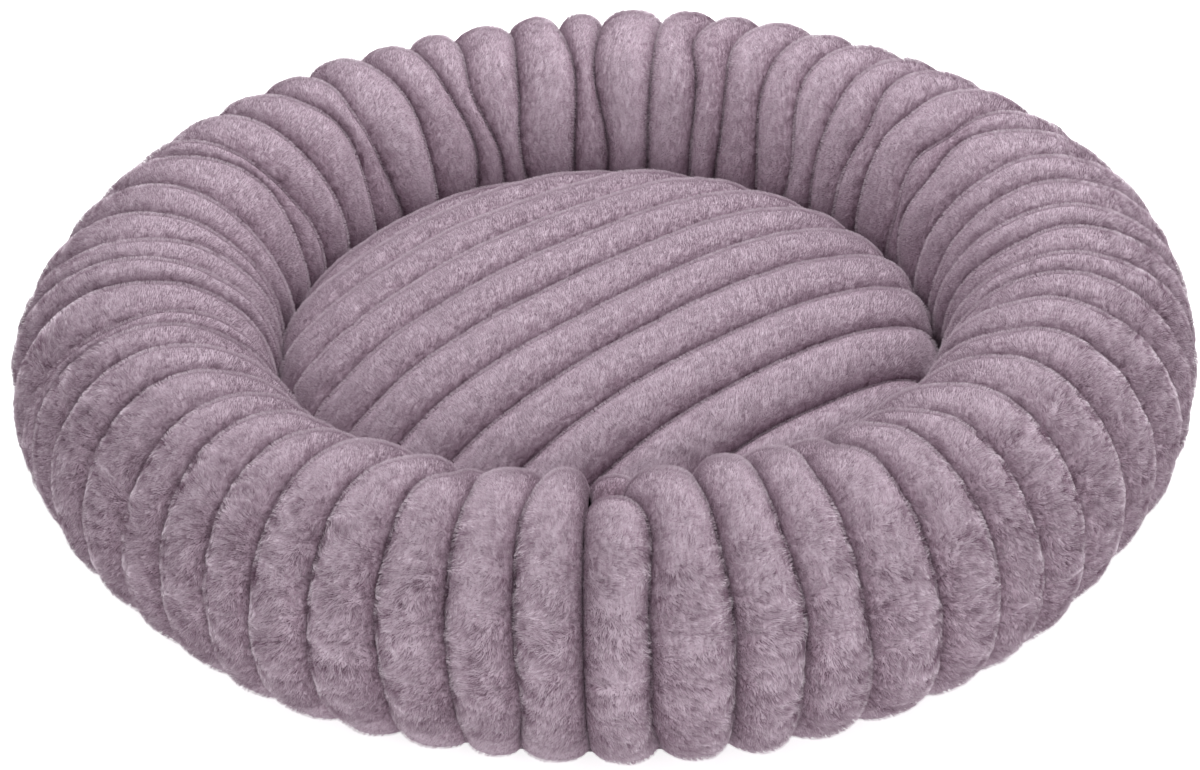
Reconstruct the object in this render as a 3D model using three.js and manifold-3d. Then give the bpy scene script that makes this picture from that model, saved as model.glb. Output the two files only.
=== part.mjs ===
// Donut pet bed: a ribbed plush ring sewn to a flat base, with a loose ribbed cushion in its well
// Millimetres, Z up, origin on the floor at the middle of the bed, front of the bed towards -Y

import * as THREE from 'three';
import { mergeVertices } from 'three/addons/utils/BufferGeometryUtils.js';
import Module from 'manifold-3d';

// Bed as a whole
const bedDiameter = 600;
const bedHeight = 130;
const restGap = 0.3; // between pieces that touch

// Stuffed ring and its ribbed plush cover
const ringWidth = 128;
const ringFootFullness = 2.3; // 2 is an ellipse, more is squarer towards the floor
const ringRibDepth = 10;
const ringInnerRibDepth = 7;
const ringBacking = 3;
const ringSeamFade = 40; // along the cover, the ribs flatten over this towards the base seams
const seamRibShare = 0.3;
const leftRibs = 29;
const rightRibs = 27;
const frontSeamAngle = THREE.MathUtils.degToRad( - 93 );

// Base
const basePanelThickness = 1.5;
const liningThickness = 0.8;

// Loose cushion
const crownHeight = 108;
const sideSeamHeight = 50;
const crownSharpness = 2.6; // plan exponent of the crown
const crownFullness = 2.2; // height exponent of the crown
const liftClearance = 1;
const soleFlatInset = 36; // from the side seam in to where the underside lies flat
const seatRibAngle = THREE.MathUtils.degToRad( 40 );
const seatRibPitch = 30.5;
const seatRibOffset = 11.8;
const seatRibDepth = 9;
const seatBacking = 3;
const seatSeamFade = 34;
const soleThickness = 1.5;
const bagThickness = 0.8;

// Zip under the cushion
const tapeTail = 18; // tape past the last turn of the coil
const tapeThickness = 0.8;
const tapeOverlap = 8.5; // tape that lies on the sole
const coilWidth = 2.2;
const coilHeight = 1.8;
const coilSplit = 1.8; // between the two rows, where the slider's web runs
const stopLength = 3;
const slotClearance = 1.8; // from the slider to the edges of the sole
const troughSlope = 26; // over this the sole rises to the zip

// Slider and its pull
const sliderLength = 13;
const sliderFlare = 1.6; // how much wider the nose is than the tail
const sliderPlate = 1;
const sliderCorner = 2;
const flangeThickness = 0.9;
const webClearance = 0.4;
const webLength = 9;
const bridgeLength = 10;
const bridgeWidth = 2.4;
const bridgeBar = 1.2;
const pullThickness = 1.2;
const pullLength = 22;
const pullWidth = 6.6;
const pullArm = 1.2;
const pullHoleLength = 5;
const pullHoleWidth = 2.6;
const pullSwing = THREE.MathUtils.degToRad( 15 );
const swingClearance = 0.5;

// How finely the forms are divided
const ringRibSteps = 4;
const ringSpans = 12;
const ringLiningSteps = 12;
const seatRibSteps = 4;
const seatSpans = 16;
const softSpans = 10;
const softColumns = 12;
const soleSteps = 5;
const soleEndSteps = 3;
const discSegments = 72;
const arcSegments = 5;
const ribFullness = 1.25; // over 1, the rib's top is flattened and its sides are steep
const rimSteps = 0.5; // least way from the cushion's rim to the next column, in steps
const weldDistance = 1e-3;
const shareTolerance = 1e-6;

// Sizes that follow
const ringHalfWidth = ringWidth / 2;
const ringHalfHeight = bedHeight / 2;
const ringRadius = bedDiameter / 2 - ringHalfWidth;
const ribAngle = 2 * Math.PI / ( leftRibs + rightRibs );
const backSeamAngle = frontSeamAngle + rightRibs * ribAngle;
const coverFoot = basePanelThickness + restGap;
const liningTop = coverFoot + liningThickness;
const cushionRadius = ringRadius - ringHalfWidth - liftClearance;
const soleHeight = liningTop + restGap;

// Heights over the lining, from the pull's pivot up to the inner bag
const pivotHeight = liningTop + swingClearance + pullLength * Math.sin( pullSwing ) + pullThickness / 2;
const bridgeOpening = pullThickness + 2 * restGap;
const sliderBottom = pivotHeight + bridgeOpening / 2;
const coilBottom = sliderBottom + sliderPlate + restGap;
const tapeBottom = coilBottom + coilHeight + restGap;
const upperPlateBottom = tapeBottom + tapeThickness + restGap;
const troughDepth = tapeBottom - restGap - soleThickness - soleHeight;
const bagTrough = upperPlateBottom + sliderPlate - soleThickness - soleHeight;

// Widths and lengths about the zip
const sliderTailWidth = coilSplit + 2 * ( coilWidth + restGap + flangeThickness );
const sliderNoseWidth = sliderTailWidth + sliderFlare;
const webThickness = coilSplit - 2 * webClearance;
const pullNeckWidth = bridgeWidth + 2 * ( restGap + pullArm );
const slotHalf = sliderNoseWidth / 2 + slotClearance;
const tapeInner = coilSplit / 2 + restGap;
const tapeOuter = slotHalf + tapeOverlap;
const tapeHalf = cushionRadius - soleFlatInset - restGap;
const zipHalf = tapeHalf - tapeTail;
const troughFlatHalf = tapeOuter + restGap;
const troughFlatLength = tapeHalf + restGap;
const sliderPlace = zipHalf - sliderLength / 2;
const pivotPlace = sliderPlace - bridgeLength / 2 + bridgeBar + restGap + pullThickness / 2;

// Soft materials and metal
const plush = cloth( 0xa894a4 );
const grippyCloth = cloth( 0x8d8188 );
const plainCloth = cloth( 0xb9aeb6 );
const zipCloth = cloth( 0x9a8796 );
const bagCloth = cloth( 0xf2f0ee );
const fibre = cloth( 0xf7f6f4 );
const zipNylon = new THREE.MeshStandardMaterial( { color: 0x9a8796, roughness: 0.45, metalness: 0 } );
const zipMetal = new THREE.MeshStandardMaterial( { color: 0xb9b6b4, roughness: 0.3, metalness: 1 } );

function cloth( color ) {

	return new THREE.MeshStandardMaterial( { color, roughness: 0.95, metalness: 0 } );

}

const wasm = await Module();
wasm.setup();

// Height of a rib over its valleys, from 0 to 1, where x counts ribs
function ribShape( x ) {

	return Math.min( 1, ribFullness * Math.abs( Math.sin( Math.PI * x ) ) );

}

// Numbers from a to b in equal steps, both ends included
function spread( a, b, steps ) {

	return Array.from( { length: steps + 1 }, ( _, i ) => THREE.MathUtils.lerp( a, b, i / steps ) );

}

// Shares from 0 to 1 that crowd towards both ends, as the chords of a half circle do
function crowded( steps ) {

	return spread( - Math.PI / 2, Math.PI / 2, steps ).map( ( angle ) => ( 1 + Math.sin( angle ) ) / 2 );

}

// Closed solid between two gridded faces that share their four edges' ends
// Each face has columns and rows of shares from 0 to 1, and at( column, row ) gives a point
function sheetSolid( outer, inner ) {

	const triangles = [];
	const gridOf = ( { columns, rows, at } ) => columns.map( ( u ) => rows.map( ( v ) => at( u, v ) ) );
	const grids = [ outer, inner ].map( gridOf );

	grids.forEach( ( grid, side ) => {

		for ( let i = 0; i < grid.length - 1; i ++ ) {

			for ( let j = 0; j < grid[ i ].length - 1; j ++ ) {

				const [ a, d ] = [ grid[ i ][ j ], grid[ i ][ j + 1 ] ];
				const [ b, c ] = [ grid[ i + 1 ][ j ], grid[ i + 1 ][ j + 1 ] ];

				if ( side === 0 ) {

					triangles.push( [ a, b, c ], [ a, c, d ] );

				} else {

					triangles.push( [ a, c, b ], [ a, d, c ] );

				}

			}

		}

	} );

	const [ outerEdges, innerEdges ] = [ outer, inner ].map(
		( face, side ) => edgesOf( face, grids[ side ] ) );
	outerEdges.forEach( ( edge, k ) => zipEdges( edge, innerEdges[ k ], triangles ) );
	return closedGeometry( triangles );

}

// The four edges of a gridded face in turn, each point with its share of the way round
function edgesOf( face, grid ) {

	const { columns, rows } = face;
	const lastColumn = columns.length - 1;
	const lastRow = rows.length - 1;
	return [
		columns.map( ( share, i ) => ( { share, point: grid[ i ][ 0 ] } ) ),
		rows.map( ( share, j ) => ( { share, point: grid[ lastColumn ][ j ] } ) ),
		columns.map( ( share, i ) => ( { share: 1 - share, point: grid[ i ][ lastRow ] } ) ).reverse(),
		rows.map( ( share, j ) => ( { share: 1 - share, point: grid[ 0 ][ j ] } ) ).reverse(),
	];

}

// Triangles between two edges that run side by side, whatever their counts
function zipEdges( a, b, triangles ) {

	let i = 0;
	let j = 0;

	while ( i < a.length - 1 || j < b.length - 1 ) {

		const stepA = j === b.length - 1 || ( i < a.length - 1 && a[ i + 1 ].share <= b[ j + 1 ].share );

		if ( stepA ) {

			triangles.push( [ a[ i + 1 ].point, a[ i ].point, b[ j ].point ] );
			i ++;

		} else {

			triangles.push( [ b[ j ].point, b[ j + 1 ].point, a[ i ].point ] );
			j ++;

		}

	}

}

// Merges shared corners, drops triangles without area and turns the faces outward
function closedGeometry( triangles ) {

	const positions = triangles.flatMap( ( corners ) => corners.flatMap( ( p ) => [ p.x, p.y, p.z ] ) );
	const loose = new THREE.BufferGeometry();
	loose.setAttribute( 'position', new THREE.Float32BufferAttribute( positions, 3 ) );
	const merged = mergeVertices( loose, weldDistance );
	const index = merged.index.array;
	const kept = [];
	const place = merged.attributes.position;
	let volume = 0;

	for ( let i = 0; i < index.length; i += 3 ) {

		const [ a, b, c ] = index.slice( i, i + 3 );

		if ( a === b || b === c || c === a ) {

			continue;

		}

		kept.push( a, b, c );
		const [ p, q, r ] = [ a, b, c ].map( ( k ) => new THREE.Vector3().fromBufferAttribute( place, k ) );
		volume += p.dot( q.cross( r ) );

	}

	merged.setIndex( volume < 0 ? kept.reverse() : kept );
	return merged;

}

// Solid of a closed geometry, for cutting and joining
function solidOf( geometry ) {

	const bare = new THREE.BufferGeometry();
	bare.setAttribute( 'position', geometry.attributes.position );
	bare.setIndex( geometry.index );
	const merged = mergeVertices( bare, weldDistance );
	const mesh = new wasm.Mesh( {
		numProp: 3,
		vertProperties: new Float32Array( merged.attributes.position.array ),
		triVerts: new Uint32Array( merged.index.array ),
	} );
	return new wasm.Manifold( mesh );

}

function geometryOf( solid ) {

	const { vertProperties, triVerts } = solid.getMesh();
	const result = new THREE.BufferGeometry();
	result.setAttribute( 'position', new THREE.Float32BufferAttribute( Array.from( vertProperties ), 3 ) );
	result.setIndex( Array.from( triVerts ) );
	return result;

}

function block( [ x0, x1 ], [ y0, y1 ], [ z0, z1 ] ) {

	const box = new THREE.BoxGeometry( x1 - x0, y1 - y0, z1 - z0 );
	return box.translate( ( x0 + x1 ) / 2, ( y0 + y1 ) / 2, ( z0 + z1 ) / 2 );

}

function disc( radius, bottom, top ) {

	const corners = [ [ 0, bottom ], [ radius, bottom ], [ radius, top ], [ 0, top ] ];
	const profile = corners.map( ( [ r, z ] ) => new THREE.Vector2( r, z ) );
	return new THREE.LatheGeometry( profile, discSegments ).rotateX( Math.PI / 2 );

}

// Section of the ring, from the outer base seam over the top to the inner one, as radius and height
class RingSection extends THREE.Curve {

	constructor() {

		super();
		const drop = ( ringHalfHeight - coverFoot ) / ringHalfHeight;
		this.footAngle = Math.asin( drop ** ( ringFootFullness / 2 ) );

	}

	getPoint( t, target = new THREE.Vector2() ) {

		const angle = THREE.MathUtils.lerp( - this.footAngle, Math.PI + this.footAngle, t );
		const power = 2 / ( Math.sin( angle ) < 0 ? ringFootFullness : 2 );
		const bent = ( x ) => Math.sign( x ) * Math.abs( x ) ** power;
		return target.set(
			ringRadius + ringHalfWidth * bent( Math.cos( angle ) ),
			ringHalfHeight + ringHalfHeight * bent( Math.sin( angle ) ),
		);

	}

}

const ringSection = new RingSection();
const ringSectionLength = ringSection.getLength();
const baseSeamRadius = ringSection.getPoint( 0 ).x;
const liningRadius = wallRadiusAt( liningTop + restGap ) - restGap;

// How far from the middle of the bed the ring's inner wall is at a height under its widest
function wallRadiusAt( height ) {

	const drop = ( ringHalfHeight - height ) / ringHalfHeight;
	return ringRadius - ringHalfWidth * ( 1 - drop ** ringFootFullness ) ** ( 1 / ringFootFullness );

}

// Depth of the ring's ribs at a share of the way over the section
function ringDepthAt( t ) {

	const toSeam = ringSectionLength * Math.min( t, 1 - t );
	const fade = THREE.MathUtils.smoothstep( toSeam, 0, ringSeamFade );
	const depth = THREE.MathUtils.lerp( ringRibDepth, ringInnerRibDepth, t );
	return depth * THREE.MathUtils.lerp( seamRibShare, 1, fade );

}

// Point on the ring at an angle round it, sunk by an inset under the crests of the ribs
function ringPoint( angle, t, inset ) {

	const p = ringSection.getPointAt( t );
	const along = ringSection.getTangentAt( t );
	const foot = t === 0 || t === 1;
	const r = foot ? p.x - inset / along.y : p.x - inset * along.y;
	const z = foot ? coverFoot : p.y + inset * along.x;
	return new THREE.Vector3( r * Math.cos( angle ), r * Math.sin( angle ), z );

}

// One half of the ring's cover: ribs outside, plain backing inside, open along the base
function ringCover( startAngle, ribs ) {

	const arc = ribs * ribAngle;
	const seam = restGap / 2 / ringRadius;
	const angleAt = ( u ) => startAngle + THREE.MathUtils.lerp( seam, arc - seam, u );
	const rows = spread( 0, 1, ringSpans );
	const outer = {
		columns: spread( 0, 1, ribs * ringRibSteps ),
		rows,
		at: ( u, t ) => ringPoint( angleAt( u ), t, ringDepthAt( t ) * ( 1 - ribShape( u * ribs ) ) ),
	};
	const inner = {
		columns: spread( 0, 1, ringLiningSteps ),
		rows,
		at: ( u, t ) => ringPoint( angleAt( u ), t, ringDepthAt( t ) + ringBacking ),
	};
	return sheetSolid( outer, inner );

}

// Stuffing of the ring: a full hoop whose facets follow the backing of both cover halves
function ringFilling() {

	const turnEnd = frontSeamAngle + 2 * Math.PI;
	const angles = [
		...spread( frontSeamAngle, backSeamAngle, ringLiningSteps ).slice( 1 ),
		...spread( backSeamAngle, turnEnd, ringLiningSteps ).slice( 1 ),
	];
	const shares = spread( 0, 1, ringSpans );
	const insetAt = ( t ) => ringDepthAt( t ) + ringBacking + restGap;
	const loops = angles.map( ( angle ) => shares.map( ( t ) => ringPoint( angle, t, insetAt( t ) ) ) );
	const triangles = [];

	loops.forEach( ( loop, i ) => {

		const next = loops[ ( i + 1 ) % loops.length ];

		loop.forEach( ( point, j ) => {

			const k = ( j + 1 ) % loop.length;
			triangles.push( [ point, next[ j ], next[ k ] ], [ point, next[ k ], loop[ k ] ] );

		} );

	} );

	return closedGeometry( triangles );

}

// Crown of the cushion, from the middle out to the side seam, as radius and height
class CrownSection extends THREE.Curve {

	getPoint( t, target = new THREE.Vector2() ) {

		const angle = t * Math.PI / 2;
		return target.set(
			cushionRadius * Math.sin( angle ) ** ( 2 / crownSharpness ),
			sideSeamHeight + ( crownHeight - sideSeamHeight ) * Math.cos( angle ) ** ( 2 / crownFullness ),
		);

	}

}

// Underside of the cushion, flat in the middle and rounded up to the side seam
function soleSection() {

	const seamHeight = sideSeamHeight - restGap;
	const flatRadius = cushionRadius - soleFlatInset;
	const path = new THREE.CurvePath();
	const middle = new THREE.Vector2( 0, soleHeight );
	const flatEdge = new THREE.Vector2( flatRadius, soleHeight );
	path.add( new THREE.LineCurve( middle, flatEdge ) );
	path.add( new THREE.EllipseCurve(
		flatRadius, seamHeight, soleFlatInset, seamHeight - soleHeight, - Math.PI / 2, 0 ) );
	return path;

}

const crown = new CrownSection();
const sole = soleSection();
const crownReach = crown.getLength();
const soleReach = sole.getLength();

// Point of the cushion whose cloth lies at x along the ribs and y across them when it is spread flat
function cushionPoint( section, reach, x, y, inset ) {

	const distance = Math.hypot( x, y );
	const share = Math.min( 1, distance / reach );
	const p = section.getPointAt( share );
	const along = section.getTangentAt( share );
	const side = Math.sign( p.y - sideSeamHeight );
	const atSeam = share > 1 - shareTolerance;
	const r = atSeam ? p.x - inset : p.x + inset * side * along.y;
	const z = atSeam ? p.y : p.y - inset * side * along.x;
	const turn = distance > 0 ? r / distance : 0;
	return new THREE.Vector3( x * turn, y * turn, z );

}

// Places on a round cloth in chords: u runs across the ribs, v along each chord
function chordPlace( reach, u, v ) {

	const y = reach * ( 2 * u - 1 );
	return { x: Math.sqrt( Math.max( 0, reach * reach - y * y ) ) * ( 2 * v - 1 ), y };

}

function seatDepthAt( x, y ) {

	const toSeam = crownReach - Math.hypot( x, y );
	const fade = THREE.MathUtils.smoothstep( toSeam, 0, seatSeamFade );
	return seatRibDepth * THREE.MathUtils.lerp( seamRibShare, 1, fade );

}

const softGrid = { columns: crowded( softColumns ), rows: crowded( softSpans ) };

// Face of the crown without ribs, at an inset under the valleys
function crownFace( inset ) {

	const at = ( u, v ) => {

		const { x, y } = chordPlace( crownReach, u, v );
		return cushionPoint( crown, crownReach, x, y, seatDepthAt( x, y ) + inset );

	};

	return { ...softGrid, at };

}

// Ribbed face of the crown: its columns follow the valleys, flanks and tops of the ribs
function ribbedFace() {

	const step = seatRibPitch / seatRibSteps;
	const first = Math.ceil( ( - crownReach - seatRibOffset ) / step + rimSteps );
	const last = Math.floor( ( crownReach - seatRibOffset ) / step - rimSteps );
	const stations = spread( first, last, last - first ).map( ( k ) => seatRibOffset + k * step );
	const columns = [ 0, ...stations.map( ( y ) => ( 1 + y / crownReach ) / 2 ), 1 ];

	const at = ( u, v ) => {

		const { x, y } = chordPlace( crownReach, u, v );
		const valley = 1 - ribShape( ( y - seatRibOffset ) / seatRibPitch );
		return cushionPoint( crown, crownReach, x, y, seatDepthAt( x, y ) * valley );

	};

	return { columns, rows: crowded( seatSpans ), at };

}

// How far the underside is drawn up over the zip, where height is the most
function troughAt( x, y, height ) {

	const across = THREE.MathUtils.smoothstep( Math.abs( y ), troughFlatHalf, troughFlatHalf + troughSlope );
	return height * ( 1 - across ) * ( 1 - troughEndAt( x ) );

}

// From 0 over the zip's length to 1 where the trough has run out past its ends
function troughEndAt( x ) {

	return THREE.MathUtils.smoothstep( Math.abs( x ), troughFlatLength, troughFlatLength + troughSlope );

}

// Shares from the middle of the underside out to the side seam, with one at each given distance
function soleShares( distances, steps ) {

	const inner = distances.map( ( distance ) => distance / soleReach );
	const angles = spread( 0, Math.PI / 2, steps ).slice( 1 );
	const outer = angles.map( ( angle ) => THREE.MathUtils.lerp( inner.at( - 1 ), 1, Math.sin( angle ) ) );
	return [ ...inner, ...outer ];

}

// The same shares on both sides of the middle, from 0 to 1
function mirrored( shares ) {

	const before = shares.slice( 1 ).reverse().map( ( share ) => ( 1 - share ) / 2 );
	return [ ...before, ...shares.map( ( share ) => ( 1 + share ) / 2 ) ];

}

const acrossZip = soleShares( [ 0, troughFlatHalf, troughFlatHalf + troughSlope ], soleSteps );
const alongZip = mirrored( soleShares(
	[ 0, troughFlatLength / 2, troughFlatLength, troughFlatLength + troughSlope ], soleEndSteps ) );

function solePoint( x, y, inset, height ) {

	const point = cushionPoint( sole, soleReach, x, y, inset );
	point.z += troughAt( x, y, height );
	return point;

}

// Inset of the inner bag under the sole, which meets the bag of the crown at the side seam
function bagInsetAt( x, y ) {

	const toSeam = soleReach - Math.hypot( x, y );
	const share = 1 - THREE.MathUtils.smoothstep( toSeam, 0, seatSeamFade );
	return THREE.MathUtils.lerp( soleThickness, seamRibShare * seatRibDepth + seatBacking, share ) + restGap;

}

function bagSoleFace( extra ) {

	const at = ( u, v ) => {

		const { x, y } = chordPlace( soleReach, u, v );
		return solePoint( x, y, bagInsetAt( x, y ) + extra, bagTrough );

	};

	return { columns: mirrored( acrossZip ), rows: alongZip, at };

}

// Cushion cover, from here on in the cushion's own frame, with X along its ribs
function seatPanel() {

	return sheetSolid( ribbedFace(), crownFace( seatBacking ) );

}

// Rear half of the sole, which turned half round is the front one
function soleHalf() {

	const face = ( inset ) => ( {
		columns: acrossZip,
		rows: alongZip,
		at: ( u, v ) => {

			const { x, y } = chordPlace( soleReach, ( 1 + u ) / 2, v );
			const slot = u === 0 ? THREE.MathUtils.lerp( slotHalf, restGap / 2, troughEndAt( x ) ) : 0;
			return solePoint( x, y + slot, inset, troughDepth );

		},
	} );

	return sheetSolid( face( 0 ), face( soleThickness ) );

}

function bagCrown() {

	const inset = seatBacking + restGap;
	return sheetSolid( crownFace( inset ), crownFace( inset + bagThickness ) );

}

function bagSole() {

	return sheetSolid( bagSoleFace( 0 ), bagSoleFace( bagThickness ) );

}

function cushionFilling() {

	const inset = seatBacking + 2 * restGap + bagThickness;
	return sheetSolid( crownFace( inset ), bagSoleFace( bagThickness + restGap ) );

}

// Zip: two tapes, two rows of coil under them, and stops at both ends
// Side is 1 for the rear row and -1 for the front one
function zipTape( side ) {

	const across = [ side * tapeInner, side * tapeOuter ].sort( ( a, b ) => a - b );
	return block( [ - tapeHalf, tapeHalf ], across, [ tapeBottom, tapeBottom + tapeThickness ] );

}

function coilRow( side, along ) {

	const across = [ side * coilSplit / 2, side * ( coilSplit / 2 + coilWidth ) ].sort( ( a, b ) => a - b );
	return block( along, across, [ coilBottom, coilBottom + coilHeight ] );

}

function topStop( side ) {

	return coilRow( side, [ zipHalf + restGap, zipHalf + restGap + stopLength ] );

}

function endStop() {

	const across = coilSplit / 2 + coilWidth;
	const start = - zipHalf - restGap;
	const along = [ start - stopLength, start ];
	return block( along, [ - across, across ], [ coilBottom, coilBottom + coilHeight ] );

}

// Outline of the slider from above, wide at the nose where the two rows come in
function sliderOutline() {

	const nose = sliderNoseWidth / 2;
	const tail = sliderTailWidth / 2;
	const front = sliderLength / 2;
	const shape = new THREE.Shape();
	shape.moveTo( - front + sliderCorner, - tail );
	shape.lineTo( front - sliderCorner, - nose );
	shape.quadraticCurveTo( front, - nose, front, - nose + sliderCorner );
	shape.lineTo( front, nose - sliderCorner );
	shape.quadraticCurveTo( front, nose, front - sliderCorner, nose );
	shape.lineTo( - front + sliderCorner, tail );
	shape.quadraticCurveTo( - front, tail, - front, tail - sliderCorner );
	shape.lineTo( - front, - tail + sliderCorner );
	shape.quadraticCurveTo( - front, - tail, - front + sliderCorner, - tail );
	return shape;

}

function raised( shape, bottom, top ) {

	const options = { depth: top - bottom, bevelEnabled: false, curveSegments: arcSegments };
	return new THREE.ExtrudeGeometry( shape, options ).translate( 0, 0, bottom );

}

// Arch under the slider that carries the pull, drawn in X and Z with its legs let into the lower plate
function sliderBridge() {

	const half = bridgeLength / 2;
	const inside = half - bridgeBar;
	const drop = bridgeOpening + bridgeBar;
	const root = sliderPlate / 2;
	const arch = new THREE.Shape();
	arch.moveTo( - half, root );
	arch.lineTo( - half, - bridgeOpening );
	arch.quadraticCurveTo( - half, - drop, - inside, - drop );
	arch.lineTo( inside, - drop );
	arch.quadraticCurveTo( half, - drop, half, - bridgeOpening );
	arch.lineTo( half, root );
	arch.lineTo( inside, root );
	arch.lineTo( inside, - bridgeOpening );
	arch.lineTo( - inside, - bridgeOpening );
	arch.lineTo( - inside, root );
	arch.closePath();
	const upright = raised( arch, - bridgeWidth / 2, bridgeWidth / 2 ).rotateX( Math.PI / 2 );
	return upright.translate( 0, 0, sliderBottom );

}

function zipSlider() {

	const outline = sliderOutline();
	const channelHalf = coilSplit / 2 + coilWidth + restGap;
	const lower = solidOf( raised( outline, sliderBottom, tapeBottom - restGap ) );
	const channel = solidOf( block(
		[ - sliderLength, sliderLength ],
		[ - channelHalf, channelHalf ],
		[ sliderBottom + sliderPlate, tapeBottom ],
	) );
	const web = block(
		[ - webLength / 2, webLength / 2 ],
		[ - webThickness / 2, webThickness / 2 ],
		[ sliderBottom + sliderPlate / 2, upperPlateBottom + sliderPlate / 2 ],
	);
	const upper = raised( outline, upperPlateBottom, upperPlateBottom + sliderPlate );
	const joined = [ web, upper, sliderBridge() ].map( solidOf );
	const body = joined.reduce( ( sum, part ) => sum.add( part ), lower.subtract( channel ) );
	return geometryOf( body ).translate( sliderPlace, 0, 0 );

}

// Flat pull with a window whose end bar runs through the slider's arch: it hangs from there towards -X
function zipPull() {

	const bar = pullThickness / 2;
	const neck = pullNeckWidth / 2;
	const tab = pullWidth / 2;
	const windowHalf = bridgeWidth / 2 + restGap;
	const windowEnd = - bridgeBar - bar - 3 * restGap;
	const shape = new THREE.Shape();
	shape.moveTo( bar, - neck );
	shape.lineTo( bar, neck );
	shape.lineTo( windowEnd, neck );
	shape.lineTo( windowEnd - bridgeBar, tab );
	shape.lineTo( - pullLength + tab, tab );
	shape.absarc( - pullLength + tab, 0, tab, Math.PI / 2, 3 * Math.PI / 2, false );
	shape.lineTo( windowEnd - bridgeBar, - tab );
	shape.lineTo( windowEnd, - neck );
	shape.closePath();
	const window = new THREE.Path();
	window.moveTo( - bar, - windowHalf );
	window.lineTo( windowEnd, - windowHalf );
	window.lineTo( windowEnd, windowHalf );
	window.lineTo( - bar, windowHalf );
	window.closePath();
	const hole = new THREE.Path();
	const holeHalf = pullHoleWidth / 2;
	const holeStart = - pullLength + tab;
	hole.absarc( holeStart + pullHoleLength, 0, holeHalf, Math.PI / 2, - Math.PI / 2, true );
	hole.absarc( holeStart, 0, holeHalf, - Math.PI / 2, - 3 * Math.PI / 2, true );
	hole.closePath();
	shape.holes.push( window, hole );
	return raised( shape, - bar, bar ).rotateY( - pullSwing ).translate( pivotPlace, 0, pivotHeight );

}

function piece( name, geometry, material ) {

	const mesh = new THREE.Mesh( geometry, material );
	mesh.name = name;
	return mesh;

}

const bed = new THREE.Group();
bed.add(
	piece( 'base_panel', disc( baseSeamRadius, 0, basePanelThickness ), grippyCloth ),
	piece( 'well_lining', disc( liningRadius, coverFoot, liningTop ), plainCloth ),
	piece( 'ring_cover_right', ringCover( frontSeamAngle, rightRibs ), plush ),
	piece( 'ring_cover_left', ringCover( backSeamAngle, leftRibs ), plush ),
	piece( 'ring_filling', ringFilling(), fibre ),
);

const cushion = new THREE.Group();
cushion.rotation.z = seatRibAngle;
cushion.add(
	piece( 'cushion_top_panel', seatPanel(), plush ),
	piece( 'cushion_sole_front', soleHalf().rotateZ( Math.PI ), plainCloth ),
	piece( 'cushion_sole_rear', soleHalf(), plainCloth ),
	piece( 'inner_bag_top', bagCrown(), bagCloth ),
	piece( 'inner_bag_bottom', bagSole(), bagCloth ),
	piece( 'cushion_filling', cushionFilling(), fibre ),
	piece( 'zip_tape_front', zipTape( - 1 ), zipCloth ),
	piece( 'zip_tape_rear', zipTape( 1 ), zipCloth ),
	piece( 'zip_coil_front', coilRow( - 1, [ - zipHalf, zipHalf ] ), zipNylon ),
	piece( 'zip_coil_rear', coilRow( 1, [ - zipHalf, zipHalf ] ), zipNylon ),
	piece( 'zip_top_stop_front', topStop( - 1 ), zipMetal ),
	piece( 'zip_top_stop_rear', topStop( 1 ), zipMetal ),
	piece( 'zip_end_stop', endStop(), zipMetal ),
	piece( 'zip_slider', zipSlider(), zipMetal ),
	piece( 'zip_pull', zipPull(), zipMetal ),
);

const donutPetBed = new THREE.Group();
donutPetBed.add( bed, cushion );
export default donutPetBed;
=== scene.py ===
import math

import bmesh
import bpy
import numpy as np
from mathutils import Matrix, Vector


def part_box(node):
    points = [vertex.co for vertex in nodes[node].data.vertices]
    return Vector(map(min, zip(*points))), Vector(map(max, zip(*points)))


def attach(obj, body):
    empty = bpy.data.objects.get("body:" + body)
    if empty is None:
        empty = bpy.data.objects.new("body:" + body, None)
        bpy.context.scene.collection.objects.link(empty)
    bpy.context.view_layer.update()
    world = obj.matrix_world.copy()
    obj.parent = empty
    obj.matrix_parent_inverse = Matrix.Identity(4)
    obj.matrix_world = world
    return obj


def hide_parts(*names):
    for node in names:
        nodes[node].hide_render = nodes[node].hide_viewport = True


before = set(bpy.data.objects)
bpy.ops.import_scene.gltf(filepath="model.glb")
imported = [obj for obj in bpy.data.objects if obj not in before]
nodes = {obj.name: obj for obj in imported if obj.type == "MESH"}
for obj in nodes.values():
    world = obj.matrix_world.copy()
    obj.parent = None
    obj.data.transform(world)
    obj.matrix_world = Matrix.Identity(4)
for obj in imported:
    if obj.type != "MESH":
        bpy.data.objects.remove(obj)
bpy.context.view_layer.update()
mm = 0.001
scene = bpy.context.scene


# Small helpers used all over

def hexColour(text):
    # sRGB hex to the linear RGBA that the shaders want
    parts = [int(text[i:i + 2], 16) / 255 for i in (1, 3, 5)]
    return [p / 12.92 if p <= 0.04045 else ((p + 0.055) / 1.055) ** 2.4 for p in parts] + [1.0]


def addNode(tree, kind, settings=None, links=None):
    # one node, its settings, and its inputs as numbers or as sockets to link
    made = tree.nodes.new("ShaderNode" + kind)
    for name, value in (settings or {}).items():
        setattr(made, name, value)
    for name, value in (links or {}).items():
        socket = made.inputs[name]
        if isinstance(value, bpy.types.NodeSocket):
            tree.links.new(value, socket)
        else:
            socket.default_value = value
    return made


def newMaterial(name, sheen=0.0, **shader):
    made = bpy.data.materials.new(name)
    made.use_nodes = True
    tree = made.node_tree
    base = tree.nodes["Principled BSDF"]
    for socket, value in shader.items():
        base.inputs[socket.replace("_", " ")].default_value = value
    base.inputs["Sheen Weight"].default_value = sheen
    return made, tree, base


def unit(v):
    return v / np.maximum(np.linalg.norm(v, axis=-1, keepdims=True), 1e-12)


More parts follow.
